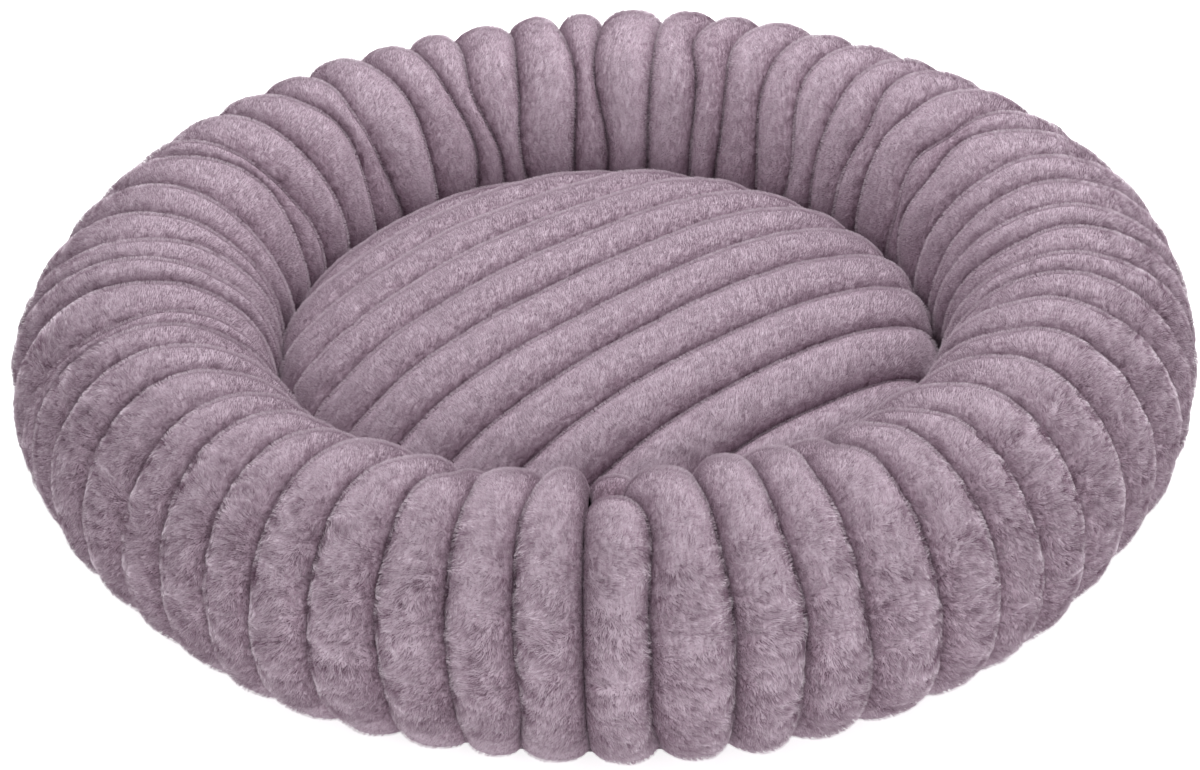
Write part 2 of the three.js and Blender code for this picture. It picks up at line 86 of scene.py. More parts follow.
def smoothStep(x):
    x = np.clip(x, 0, 1)
    return x * x * (3 - 2 * x)


def fadeIn(value, start, over):
    # 0 up to start, then softly up to 1 over that distance
    return smoothStep((value - start) / over)


def lattice(shape, cells, rng):
    # soft random hills over a grid: cells is how many grid steps one hill is wide
    axes = []
    for count, cell in zip(shape, cells):
        place = np.arange(count) / cell
        low = np.floor(place).astype(int)
        axes.append((low, smoothStep(place - low)))
    heights = rng.uniform(-1, 1, (axes[0][0].max() + 2, axes[1][0].max() + 2))
    (iu, fu), (iv, fv) = axes
    fu, fv = fu[:, None], fv[None]
    near = heights[iu][:, iv] * (1 - fu) + heights[iu + 1][:, iv] * fu
    far = heights[iu][:, iv + 1] * (1 - fu) + heights[iu + 1][:, iv + 1] * fu
    return near * (1 - fv) + far * fv


def hills(shape, layers, rng):
    # several such layers on each other: (cells, height)
    return sum(lattice(shape, cells, rng) * high for cells, high in layers)


def newObject(name, data):
    made = bpy.data.objects.new(name, data)
    scene.collection.objects.link(made)
    return made


def newMesh(name, points, faces, material):
    mesh = bpy.data.meshes.new(name)
    mesh.from_pydata(np.reshape(points, (-1, 3)).tolist(), [], faces)
    mesh.materials.append(material)
    return mesh


def pieceOf(mesh, body):
    mesh.shade_smooth()
    made = newObject(mesh.name, mesh)
    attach(made, body)
    return made


def turned(points, degrees):
    # about the upright axis through the bed's middle
    c, s = math.cos(math.radians(degrees)), math.sin(math.radians(degrees))
    x, y, z = points[..., 0], points[..., 1], points[..., 2]
    return np.stack([x * c - y * s, x * s + y * c, z], -1)


# Camera, as in the photo

photoView = {
    "elevation": 31.25,  # degrees over the floor
    "distance": 1.554,  # metres
    "roll": -1.91,
    "targetHeight": 0.0656,
    "focalPixels": 2994.2,
    "middlePixel": (607.0, 341.0),
    "imagePixels": (1200, 770),
    "sensor": 36.0,
}


def placeCamera(view):
    wide, high = view["imagePixels"]
    tilt, roll = math.radians(view["elevation"]), math.radians(view["roll"])
    ahead = Vector((0, math.cos(tilt), -math.sin(tilt)))
    right = Vector((1, 0, 0))
    up = right.cross(ahead)
    across = math.cos(roll) * right + math.sin(roll) * up
    over = math.cos(roll) * up - math.sin(roll) * right
    data = bpy.data.cameras.new("camera")
    data.sensor_width = view["sensor"]
    data.lens = view["focalPixels"] / wide * view["sensor"]
    data.shift_x = (wide / 2 - view["middlePixel"][0]) / wide
    data.shift_y = (view["middlePixel"][1] - high / 2) / wide
    camera = newObject("camera", data)
    place = Vector((0, 0, view["targetHeight"])) - ahead * view["distance"]
    turn = Matrix((across, over, -ahead)).transposed().to_4x4()
    camera.matrix_world = Matrix.Translation(place) @ turn
    scene.camera = camera


placeCamera(photoView)
print("camera is in place")


# Light and floor

studio = {
    "ambient": 0.56,
    "backdrop": "#ffffff",
    "lamps": [
        # name, where, size in metres, watts
        ("overhead softbox", (0.3, 0.7, 1.4), 0.9, 22.8),
        ("front fill", (0.1, -1.7, 0.45), 0.8, 9.6),
    ],
    "lampsAim": (0, 0, 0.06),
    "floorSize": 8.0,
    "floorColour": "#f4f4f4",
    "floorGlow": 0.7,
}


def seenDirectly(tree):
    # 1 for what the camera, gloss or glass sees, 0 for what only lights the bed
    path = addNode(tree, "LightPath")
    seen = path.outputs["Is Camera Ray"]
    for ray in ("Is Glossy Ray", "Is Transmission Ray"):
        either = addNode(tree, "Math", {"operation": "MAXIMUM"}, {0: seen, 1: path.outputs[ray]})
        seen = either.outputs[0]
    return seen


def lightStudio(plan):
    world = bpy.data.worlds.new("studio")
    scene.world = world
    world.use_nodes = True
    tree = world.node_tree
    sky = tree.nodes["Background"]
    level = addNode(tree, "MapRange", None, {
        "Value": seenDirectly(tree), "To Min": plan["ambient"], "To Max": 1.0})
    sky.inputs["Color"].default_value = hexColour(plan["backdrop"])
    tree.links.new(level.outputs["Result"], sky.inputs["Strength"])
    for name, place, size, watts in plan["lamps"]:
        lamp = bpy.data.lights.new(name, "AREA")
        lamp.size, lamp.energy = size, watts
        made = newObject(name, lamp)
        made.location = place
        aim = Vector(plan["lampsAim"]) - Vector(place)
        made.rotation_euler = aim.to_track_quat("-Z", "Y").to_euler()
    # painted board: white to the camera, and it still takes the bed's shadow
    board, tree, base = newMaterial("painted floor board", Roughness=0.9)
    base.inputs["Base Color"].default_value = hexColour(plan["floorColour"])
    glow = addNode(tree, "Math", {"operation": "MULTIPLY"},
                   {0: seenDirectly(tree), 1: plan["floorGlow"]})
    base.inputs["Emission Color"].default_value = hexColour(plan["backdrop"])
    tree.links.new(glow.outputs[0], base.inputs["Emission Strength"])
    half = plan["floorSize"] / 2
    corners = [(-half, -half, 0), (half, -half, 0), (half, half, 0), (-half, half, 0)]
    newObject("floor", newMesh("floor", corners, [(0, 1, 2, 3)], board))
    scene.view_settings.view_transform = "Standard"


lightStudio(studio)
print("light and floor are in place")


# Cloths and other materials

def finished(surface, colour, height, strength, deepMm):
    # gives a surface its colour, and its relief as bump
    made, tree, base = surface
    relief = addNode(tree, "Bump", None, {
        "Strength": strength, "Distance": deepMm * mm, "Height": height})
    tree.links.new(relief.outputs["Normal"], base.inputs["Normal"])
    tree.links.new(colour, base.inputs["Base Color"])
    return made


def fillRamp(tone, colours):
    # the colours of a ramp from its start to its end
    ends = zip(tone.color_ramp.elements, (colours[0], colours[-1]))
    for element, (position, colour) in ends:
        element.position, element.color = position, hexColour(colour)
    for position, colour in colours[1:-1]:
        tone.color_ramp.elements.new(position).color = hexColour(colour)


plushTone = {
    "locksPerMm": (0.42, 0.16, 1),  # across and along a rib, so a lock is about 2.4 by 6 mm
    "spotsPerMm": 0.9,
    "byLock": (1.1, -0.53),  # how strong, and what keeps its middle at 0
    "bySpot": 0.4,
    # painted shade from the openness attribute: dark in the grooves and on shaded flanks
    "byGrooveShade": 0.62,
}


def plushSkin():
    # polyester rabbit-fur plush, knitted backing with a cut pile, slightly silky: dark down in the
    # grooves as painted shade, pale where the pile lies open
    surface = newMaterial(
        "knitted polyester plush", sheen=0.35, Roughness=0.95, IOR=1.45, Specular_IOR_Level=0.15,
        Sheen_Roughness=0.45, Sheen_Tint=hexColour("#d9ccd8"))
    tree = surface[1]
    place = addNode(tree, "Attribute", {"attribute_name": "pilePlace"})
    openness = addNode(tree, "Attribute", {"attribute_name": "openness"})
    lock = addNode(tree, "Mapping", None, {
        "Vector": place.outputs["Vector"], "Scale": plushTone["locksPerMm"]})
    streaks = addNode(tree, "TexNoise", None, {
        "Vector": lock.outputs["Vector"], "Scale": 1.0, "Detail": 5.0, "Roughness": 0.62,
        "Distortion": 0.9})
    spots = addNode(tree, "TexNoise", None, {
        "Vector": place.outputs["Vector"], "Scale": plushTone["spotsPerMm"], "Detail": 3.0,
        "Roughness": 0.6})
    strength, shade = plushTone["byLock"]
    for source, strength in ((streaks, strength), (spots, plushTone["bySpot"]),
                             (openness, plushTone["byGrooveShade"])):
        mixed = addNode(tree, "Math", {"operation": "MULTIPLY_ADD"}, {
            0: source.outputs["Fac"], 1: strength, 2: shade})
        shade = mixed.outputs[0]
    tone = addNode(tree, "ValToRGB", None, {"Fac": shade})
    # the ramp runs from painted shade in the grooves and on shaded flanks to the open pile, shifted by
    # random locks and spots of tone
    fillRamp(tone, ((0.0, "#3a2530"), (0.25, "#6f5765"), (0.5, "#9d8795"), (0.75, "#bdaab7"),
                    (1.0, "#cdbdc9")))
    return finished(surface, tone.outputs["Color"], streaks.outputs["Fac"], 0.5, 1.2)


def pileFibre():
    # crimped polyester fibre, clear enough that light comes through it: plum towards the root as
    # painted shade deep in the pile, pale at the tip. It is written paler than the cloth looks, as
    # strands shade each other
    made, tree, base = newMaterial(
        "crimped polyester fibre", Roughness=0.55, IOR=1.5, Specular_IOR_Level=0.35)
    strand = addNode(tree, "HairInfo")
    toneAndShade = addNode(tree, "Attribute", {"attribute_name": "toneAndShade"})
    tone = addNode(tree, "ValToRGB", None, {"Fac": strand.outputs["Intercept"]})
    fillRamp(tone, ((0.0, "#ab93a3"), (0.4, "#d8c7d3"), (0.7, "#efe3ec"), (1.0, "#fbf3f9")))
    # painted shade and tone on each strand: from this plum where toneAndShade is 0 to white where it is 1
    shade = addNode(tree, "Mix", {"data_type": "RGBA"}, {
        "Factor": toneAndShade.outputs["Fac"], "A": hexColour("#8f7786"), "B": hexColour("#ffffff")})
    coloured = addNode(tree, "Mix", {"data_type": "RGBA", "blend_type": "MULTIPLY"}, {
        "Factor": 1.0, "A": tone.outputs["Color"], "B": shade.outputs["Result"]})
    tree.links.new(coloured.outputs["Result"], base.inputs["Base Color"])
    through = addNode(tree, "BsdfTranslucent", None, {"Color": coloured.outputs["Result"]})
    both = addNode(tree, "MixShader", None, {"Fac": 0.35, 1: base.outputs[0], 2: through.outputs[0]})
    tree.links.new(both.outputs[0], tree.nodes["Material Output"].inputs["Surface"])
    return made


onceAMetre = 0.318  # the scale at which a wave texture repeats about once a metre


def wovenCloth(name, colour, shadow, threadMm, sheen=0.1, bump=0.35):
    # plain weave: two sets of dull threads that cross at a right angle and catch light on top.
    # Real threads are too fine to show, so these lie two to three times as far apart
    surface = newMaterial(name, sheen=sheen, Roughness=0.85, IOR=1.5, Specular_IOR_Level=0.25)
    tree = surface[1]
    place = addNode(tree, "TexCoord")
    overAndUnder = 1 / (threadMm * mm) / 2
    waves = []
    for direction in ("X", "Y"):
        wave = addNode(tree, "TexWave", {"bands_direction": direction, "wave_profile": "SIN"}, {
            "Vector": place.outputs["Object"], "Scale": overAndUnder * onceAMetre, "Distortion": 0.4,
            "Detail": 1.0})
        waves.append(wave.outputs["Fac"])
    weave = addNode(tree, "Math", {"operation": "MULTIPLY"}, {0: waves[0], 1: waves[1]})
    cloud = addNode(tree, "TexNoise", None, {
        "Vector": place.outputs["Object"], "Scale": 55.0, "Detail": 4.0})  # about 18 mm wide
    mixed = addNode(tree, "Math", {"operation": "MULTIPLY_ADD"}, {
        0: cloud.outputs["Fac"], 1: 0.5, 2: weave.outputs[0]})
    # painted shade between the threads and painted highlight on their tops, with random clouds of tone
    tone = addNode(tree, "Mix", {"data_type": "RGBA"}, {
        "Factor": mixed.outputs[0], "A": hexColour(shadow), "B": hexColour(colour)})
    return finished(surface, tone.outputs["Result"], weave.outputs[0], bump, 0.25)


def matted(name, colour, shadow, sizeMm):
    # loose or bonded fibre: dull, without a weave, only clouds and fine hairs
    surface = newMaterial(name, sheen=0.2, Roughness=0.95, Specular_IOR_Level=0.2)
    tree = surface[1]
    place = addNode(tree, "TexCoord")
    cloud = addNode(tree, "TexNoise", None, {
        "Vector": place.outputs["Object"], "Scale": 1 / (sizeMm * mm), "Detail": 6.0,
        "Roughness": 0.7, "Distortion": 1.2})
    tone = addNode(tree, "Mix", {"data_type": "RGBA"}, {
        "Factor": cloud.outputs["Fac"], "A": hexColour(shadow), "B": hexColour(colour)})
    return finished(surface, tone.outputs["Result"], cloud.outputs["Fac"], 0.5, 0.6)


def smoothFinish(name, colour, roughness, metallic=0.0, grainMm=0.5):
    # vinyl, nylon, thread, paint or bare metal: a soft gloss, uneven in grains that are drawn
    # coarser than real ones, which would be too fine to show
    surface = newMaterial(name, Roughness=roughness, Metallic=metallic)
    tree, base = surface[1:]
    place = addNode(tree, "TexCoord")
    grain = addNode(tree, "TexNoise", None, {
        "Vector": place.outputs["Object"], "Scale": 1 / (grainMm * mm), "Detail": 3.0})
    tone = addNode(tree, "MapRange", None, {
        "Value": grain.outputs["Fac"], "To Min": 0.85, "To Max": 1.1})
    coloured = addNode(tree, "VectorMath", {"operation": "SCALE"}, {
        0: hexColour(colour)[:3], "Scale": tone.outputs["Result"]})
    rough = addNode(tree, "MapRange", None, {
        "Value": grain.outputs["Fac"], "To Min": roughness - 0.08, "To Max": roughness + 0.1})
    tree.links.new(rough.outputs["Result"], base.inputs["Roughness"])
    return finished(surface, coloured.outputs["Vector"], grain.outputs["Fac"], 0.15, 0.1)


plush = plushSkin()
fibre = pileFibre()
gripCloth = wovenCloth("woven oxford polyester", "#9a8d96", "#6f626c", 1.1)
plainCloth = wovenCloth("woven plain polyester", "#bdb1ba", "#94868f", 0.8)
tapeCloth = wovenCloth("woven zip tape", "#9a8796", "#6d5b69", 0.7, bump=0.5)
bagCloth = matted("bonded non-woven polypropylene", "#f2f0ee", "#d9d5d2", 1.4)
wadding = matted("siliconised polyester wadding", "#f7f6f4", "#dad7d3", 7.0)
gripVinyl = smoothFinish("moulded soft vinyl", "#7d717a", 0.55)  # dull, like rubber
coilNylon = smoothFinish("drawn nylon coil wire", "#9a8796", 0.4)  # shines along each loop
sewingThread = smoothFinish("spun polyester thread", "#a796a3", 0.7, grainMm=0.3)  # nearly dull
sliderMetal = smoothFinish("cast zinc, painted", "#8f7d8c", 0.38)  # even satin paint
stopMetal = smoothFinish("pressed aluminium", "#b9b6b4", 0.35, metallic=1.0)  # bare and bright
print("materials are made")


# Closed cloth shells from two grids

shell = {
    "backingOpenness": 0.3,  # how pale the backing is
    # the baking map: the pile side large, the backing small, the cut edges in thin bands
    "pileSide": (0.01, 0.22, 0.98, 0.77),  # left, low, wide, high
    "backing": (0.01, 0.05, 0.98, 0.14),
    "bandAlong": (0.01, 0.97),
    "bands": (0.004, 0.01, 0.006),  # lowest, from one to the next, how high each is
}


def gridFaces(shape, first, flipped):
    u, v = np.meshgrid(np.arange(shape[0] - 1), np.arange(shape[1] - 1), indexing="ij")
    a = first + u * shape[1] + v
    corners = np.stack([a, a + shape[1], a + shape[1] + 1, a + 1], -1).reshape(-1, 4)
    return corners[:, ::-1] if flipped else corners


def edgeStrip(fine, coarse):
    # triangles between a fine row of vertices and a coarse one beside it
    step = (len(fine) - 1) // (len(coarse) - 1)
    found = []
    for j in range(len(coarse) - 1):
        middle = j * step + step // 2
        found += [(fine[i + 1], fine[i], coarse[j]) for i in range(j * step, middle)]
        found.append((fine[middle], coarse[j], coarse[j + 1]))
        found += [(fine[i + 1], fine[i], coarse[j + 1]) for i in range(middle, (j + 1) * step)]
    return found


def closedShell(name, outer, inner, material, body, fields):
    # a fine outer grid and a coarse inner one, joined along their four edges
    outerIds = np.arange(outer.shape[0] * outer.shape[1]).reshape(outer.shape[:2])
    innerIds = outerIds.size + np.arange(inner.shape[0] * inner.shape[1]).reshape(inner.shape[:2])
    strips = []
    ahead, back = slice(None), slice(None, None, -1)
    for side in ((ahead, 0), (-1, ahead), (back, -1), (0, back)):
        strips.append(edgeStrip(outerIds[side].tolist(), innerIds[side].tolist()))
    outerQuads = gridFaces(outer.shape, 0, False)
    innerQuads = gridFaces(inner.shape, outerIds.size, True)
    faces = outerQuads.tolist() + innerQuads.tolist() + [t for s in strips for t in s]
    vertices = np.concatenate([outer.reshape(-1, 3), inner.reshape(-1, 3)])
    mesh = newMesh(name, vertices, faces, material)

    def flat(shape, left, low, wide, high):
        u, v = np.meshgrid(np.linspace(0, 1, shape[0]), np.linspace(0, 1, shape[1]), indexing="ij")
        return np.stack([left + u * wide, low + v * high], -1).reshape(-1, 2)

    places = np.concatenate([flat(outer.shape, *shell["pileSide"]),
                             flat(inner.shape, *shell["backing"])])
    corners = [places[outerQuads.reshape(-1)], places[innerQuads.reshape(-1)]]
    left, wide = shell["bandAlong"]
    lowest, apart, high = shell["bands"]
    for band, strip in enumerate(strips):
        ids = np.array(strip).reshape(-1)
        low, step = lowest + band * apart, 1 / max(len(strip) - 1, 1)
        along = np.repeat(np.arange(len(strip)) * step, 3) + np.tile([step, 0, step / 2], len(strip))
        corners.append(np.stack([left + along * wide,
                                 np.where(ids < outerIds.size, low, low + high)], -1))
    layer = mesh.uv_layers.new(name="OFBake")
    layer.data.foreach_set("uv", np.concatenate(corners).astype(np.float32).reshape(-1))
    for key, values in fields.items():
        size = 3 if values.ndim == 3 else 1
        kind, read = ("FLOAT_VECTOR", "vector") if size == 3 else ("FLOAT", "value")
        rest = np.full((innerIds.size, size), shell["backingOpenness"] if size == 1 else 0.0)
        filled = np.concatenate([values.reshape(-1, size), rest]).astype(np.float32)
        mesh.attributes.new(key, kind, "POINT").data.foreach_set(read, filled.reshape(-1))
    return pieceOf(mesh, body)


# The pile: real strands over the skin, which lean in patches as brushed plush does

pile = {
    "perMm2": 1.7,
    "quick": (0.25, 2.0),
    "lengthMm": 2.5,
    "lengthSpread": (0.8, 1.15),
    "grooveLength": 0.25,  # what is left of it down in the grooves
    "rootRadiusMm": 0.06,
    "tipRadiusMm": 0.03,
    "strandSteps": (0.0, 0.55, 1.0),  # where along a strand its points lie
    "taper": (1.0, 0.75, 0.0),  # how near to the root's radius it is at each of them
    "upright": 0.5,  # the share of its length that a strand first stands straight up
    "floorClearMm": 0.4,
    "droop": 0.3,
    "outward": 0.3,  # how far strands in the grooves turn towards the open
    "combed": 2.0,  # how much flatter longer pile lies
    "shearedMm": 2.3,  # no strand stands higher over the cloth
    "patches": [
        # how wide in steps of the skin's grid, how far the strands lean there
        ((6.0, 5.0), 0.5), ((2.4, 2.2), 0.32)],
    "calmest": 0.35,  # what is left of that lean where the pile isn't tousled
    "parting": 1.8,  # painted shade: how much darker strands are where they lean apart
    "paintedFlankShade": 0.4,  # painted shade: how much darker one flank of each rib is
    "flankShadeOnSkin": 0.5,  # and how much of that the skin below takes
    # across a rib, from -1 to 1: where each of these starts, and how far it takes to fade in
    "ruffledFade": (-0.3, 1.1),  # this one counts the other way
    "litFlankFade": (0.1, 0.6),
    "stoppedFade": (-0.3, 1.2),
    # painted shade on one flank of each rib, in soft patches, and painted light on the other
    "flankShadePatch": 0.35,
    "litFlankShare": 1.4,
    "stoppedShare": 0.9,
    # what toneAndShade follows: its lock and the single strand at random, and painted shade where the
    # pile parts
    "tints": (0.45, 0.15, 0.4),
    # and where the pile is combed: an even tone, the stroke, the three above
    "combedTints": (0.25, 0.5, 0.25),
    # painted shade: what is left of a strand's brightness down in the grooves
    "grooveShade": 0.3,
    "unruly": 0.12,
    "lockSteps": (0.8, 0.9),  # how wide a lock is, in steps of the skin's grid
    "strokeSteps": (5.0, 0.5),  # pale and dark strokes across the ribs, where the pile is combed
    "gather": 0.6,  # how far strands draw together in their lock
    "hiddenShare": 0.35,  # of the strands grow where neither eye nor lamp reaches
}


def sampled(grid, u, v):
    # a grid's values at places between its points
    iu = np.clip(u.astype(int), 0, grid.shape[0] - 2)
    iv = np.clip(v.astype(int), 0, grid.shape[1] - 2)
    fu, fv = u - iu, v - iv
    if grid.ndim == 3:
        fu, fv = fu[:, None], fv[:, None]
    near = grid[iu, iv] * (1 - fu) + grid[iu + 1, iv] * fu
    far = grid[iu, iv + 1] * (1 - fu) + grid[iu + 1, iv + 1] * fu
    return near * (1 - fv) + far * fv


def growPile(name, skin, body, seed):
    rng = np.random.default_rng(seed)
    fewer, thicker = ((1.0, 1.0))
    points = skin["points"]
    across = points[1:, :-1] - points[:-1, :-1]
    along = points[:-1, 1:] - points[:-1, :-1]
    share = np.linalg.norm(np.cross(across, along), axis=-1) * skin["seen"][:-1, :-1]
    area = np.cumsum(share.reshape(-1))
    count = int(area[-1] / mm ** 2 * pile["perMm2"] * fewer)
    cell = np.searchsorted(area, rng.random(count) * area[-1])
    iu, iv = np.divmod(cell, points.shape[1] - 1)
    u, v = iu + rng.random(count), iv + rng.random(count)
    # which way each strand leans, as a field over the skin
    swayU, swayV = np.zeros(points.shape[:2]), np.zeros(points.shape[:2])
    calm = pile["calmest"] + (1 - pile["calmest"]) * skin["tousled"]
    sideways, lengthwise = unit(np.gradient(points, axis=0)), unit(np.gradient(points, axis=1))
    for cells, amount in pile["patches"]:
        swayU += lattice(swayU.shape, cells, rng) * amount * calm
        swayV += lattice(swayV.shape, cells, rng) * amount * calm
    lean = sideways * swayU[..., None] + lengthwise * swayV[..., None]
    parting = np.gradient(swayU, axis=0) + np.gradient(swayV, axis=1)
    # painted shade where the pile parts: 0 there, up to 1 where it stays closed
    closed = np.clip(0.5 - pile["parting"] * parting, 0, 1)
    stands = unit(skin["normals"] * (1 - pile["outward"]) + skin["outward"] * pile["outward"])
    down = np.array([0.0, 0.0, -1.0])
    lean += pile["droop"] * (down - (stands @ down)[..., None] * stands)
    lean *= (1 + pile["combed"] * (skin["shag"] - 1))[..., None]
    lean += skin["brushed"]
    # small locks draw their strands together at the tips
    stepU, stepV = pile["lockSteps"]
    size = (int(points.shape[0] / stepU) + 2, int(points.shape[1] / stepV) + 2)
    shake = rng.random((*size, 2))
    cu, cv = (u / stepU).astype(int), (v / stepV).astype(int)
    lockU = np.clip((cu + shake[cu, cv, 0]) * stepU, 0, points.shape[0] - 1.001)
    lockV = np.clip((cv + shake[cu, cv, 1]) * stepV, 0, points.shape[1] - 1.001)
    lockTint = rng.random(size)[cu, cv]
    roots = sampled(points, u, v)
    openness = sampled(skin["openness"], u, v)
    length = pile["lengthMm"] * mm * (pile["grooveLength"] + (1 - pile["grooveLength"]) * openness)
    length *= rng.uniform(*pile["lengthSpread"], count) * sampled(skin["shag"], u, v)
    base = unit(sampled(stands, u, v))
    uneven = np.minimum(sampled(skin["tousled"], u, v), 1)[:, None]
    towards = unit(base + sampled(lean, u, v) + rng.normal(0, pile["unruly"], (count, 3)) * uneven)
    rise = np.maximum((towards * sampled(skin["normals"], u, v)).sum(-1), 0.1)
    length = np.minimum(length, pile["shearedMm"] * mm / rise)[:, None]
    tips = roots + length * towards
    gather = pile["gather"] * np.sqrt(rng.random(count))[:, None] * uneven
    tips += (sampled(points, lockU, lockV) - roots) * gather
    steps = np.array(pile["strandSteps"])[None, :, None]
    bend = roots + base * length * pile["upright"]
    strands = (roots[:, None] * (1 - steps) ** 2 + bend[:, None] * 2 * steps * (1 - steps)
               + tips[:, None] * steps ** 2)
    strands[..., 2] = np.maximum(strands[..., 2], pile["floorClearMm"] * mm)
    data = bpy.data.hair_curves.new(name)
    data.add_curves([len(pile["strandSteps"])] * count)
    data.position_data.foreach_set("vector", strands.astype(np.float32).reshape(-1))
    taper = pile["tipRadiusMm"] + (pile["rootRadiusMm"] - pile["tipRadiusMm"]) * np.array(pile["taper"])
    radius = mm * taper * thicker
    data.attributes.new("radius", "FLOAT", "POINT")
    data.attributes["radius"].data.foreach_set("value", np.tile(radius, count).astype(np.float32))
    data.attributes.new("toneAndShade", "FLOAT", "CURVE")
    byLock, byStrand, byParting = pile["tints"]
    mixed = byLock * lockTint + byStrand * rng.random(count) + byParting * sampled(closed, u, v)
    strokeU, strokeV = pile["strokeSteps"]
    column = (v / strokeV).astype(int)
    started = rng.random(column.max() + 1)[column]
    stroke = (u / strokeU + started).astype(int)
    strokeTint = rng.random((stroke.max() + 1, column.max() + 1))[stroke, column]
    level, byStroke, left = pile["combedTints"]
    mixed += (1 - uneven[:, 0]) * (level + byStroke * strokeTint + left * mixed - mixed)
    toneAndShade = 0.5 + (mixed - 0.5) * sampled(skin["tousled"], u, v)
    # painted shade: strands darker down in the grooves
    toneAndShade *= pile["grooveShade"] + (1 - pile["grooveShade"]) * openness
    # painted shade on one flank of each rib, and painted light on the other and along the crest
    toneAndShade *= 1 - pile["paintedFlankShade"] * sampled(skin["ruffled"], u, v)
    data.attributes["toneAndShade"].data.foreach_set("value", toneAndShade.astype(np.float32))
    data.materials.append(fibre)
    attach(newObject(name, data), body)
    print(name, "has", count, "strands")


def skinShading(skin):
    # painted shade for the cloth under the strands: dark in the grooves, darker still on the shaded
    # flanks
    darker = pile["flankShadeOnSkin"] * pile["paintedFlankShade"] * np.maximum(skin["ruffled"], 0)
    return skin["openness"] * (1 - darker)


def plushCover(name, node, skin, inner, body, pileName, seed):
    # the openness attribute carries the skin's painted shade
    cover = closedShell(name, skin["points"], inner, plush, body,
                        {"openness": skinShading(skin), "pilePlace": skin["place"]})
    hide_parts(node)
    growPile(pileName, skin, body, seed + 100)
    return cover


def paintedFlankShading(across, shape, cells, rng):
    # painted shade up to 1 on one flank of each rib, in soft patches, and painted light below 0 on the
    # other
    patch = pile["flankShadePatch"]
    flank = fadeIn(-across, *pile["ruffledFade"]) * (1 - patch + patch * lattice(shape, cells, rng))
    return flank - pile["litFlankShare"] * fadeIn(across, *pile["litFlankFade"])


def stoppedByNext(across):
    # brushed pile stands up more and more where the next rib is in its way
    return 1 - pile["stoppedShare"] * fadeIn(across, *pile["stoppedFade"])


def gridNormals(points):
    du, dv = np.gradient(points, axis=0), np.gradient(points, axis=1)
    return unit(np.cross(du, dv))


def ribSteps(first, last, steps):
    # a grid's lines across the ribs, closer together towards the grooves: which rib each
    # one lies on, and how far across it
    t = 0.5 - 0.5 * np.cos(np.pi * np.arange(steps) / steps)
    rib = np.append(np.repeat(np.arange(first, last), steps), last - 1)
    return rib, np.append(np.tile(t, last - first), 1.0)


def ribRound(t, roundness):
    # 1 along a rib's back, 0 in the grooves beside it
    return np.sqrt(np.maximum(0, 1 - np.abs(2 * t - 1) ** roundness))


# The ring

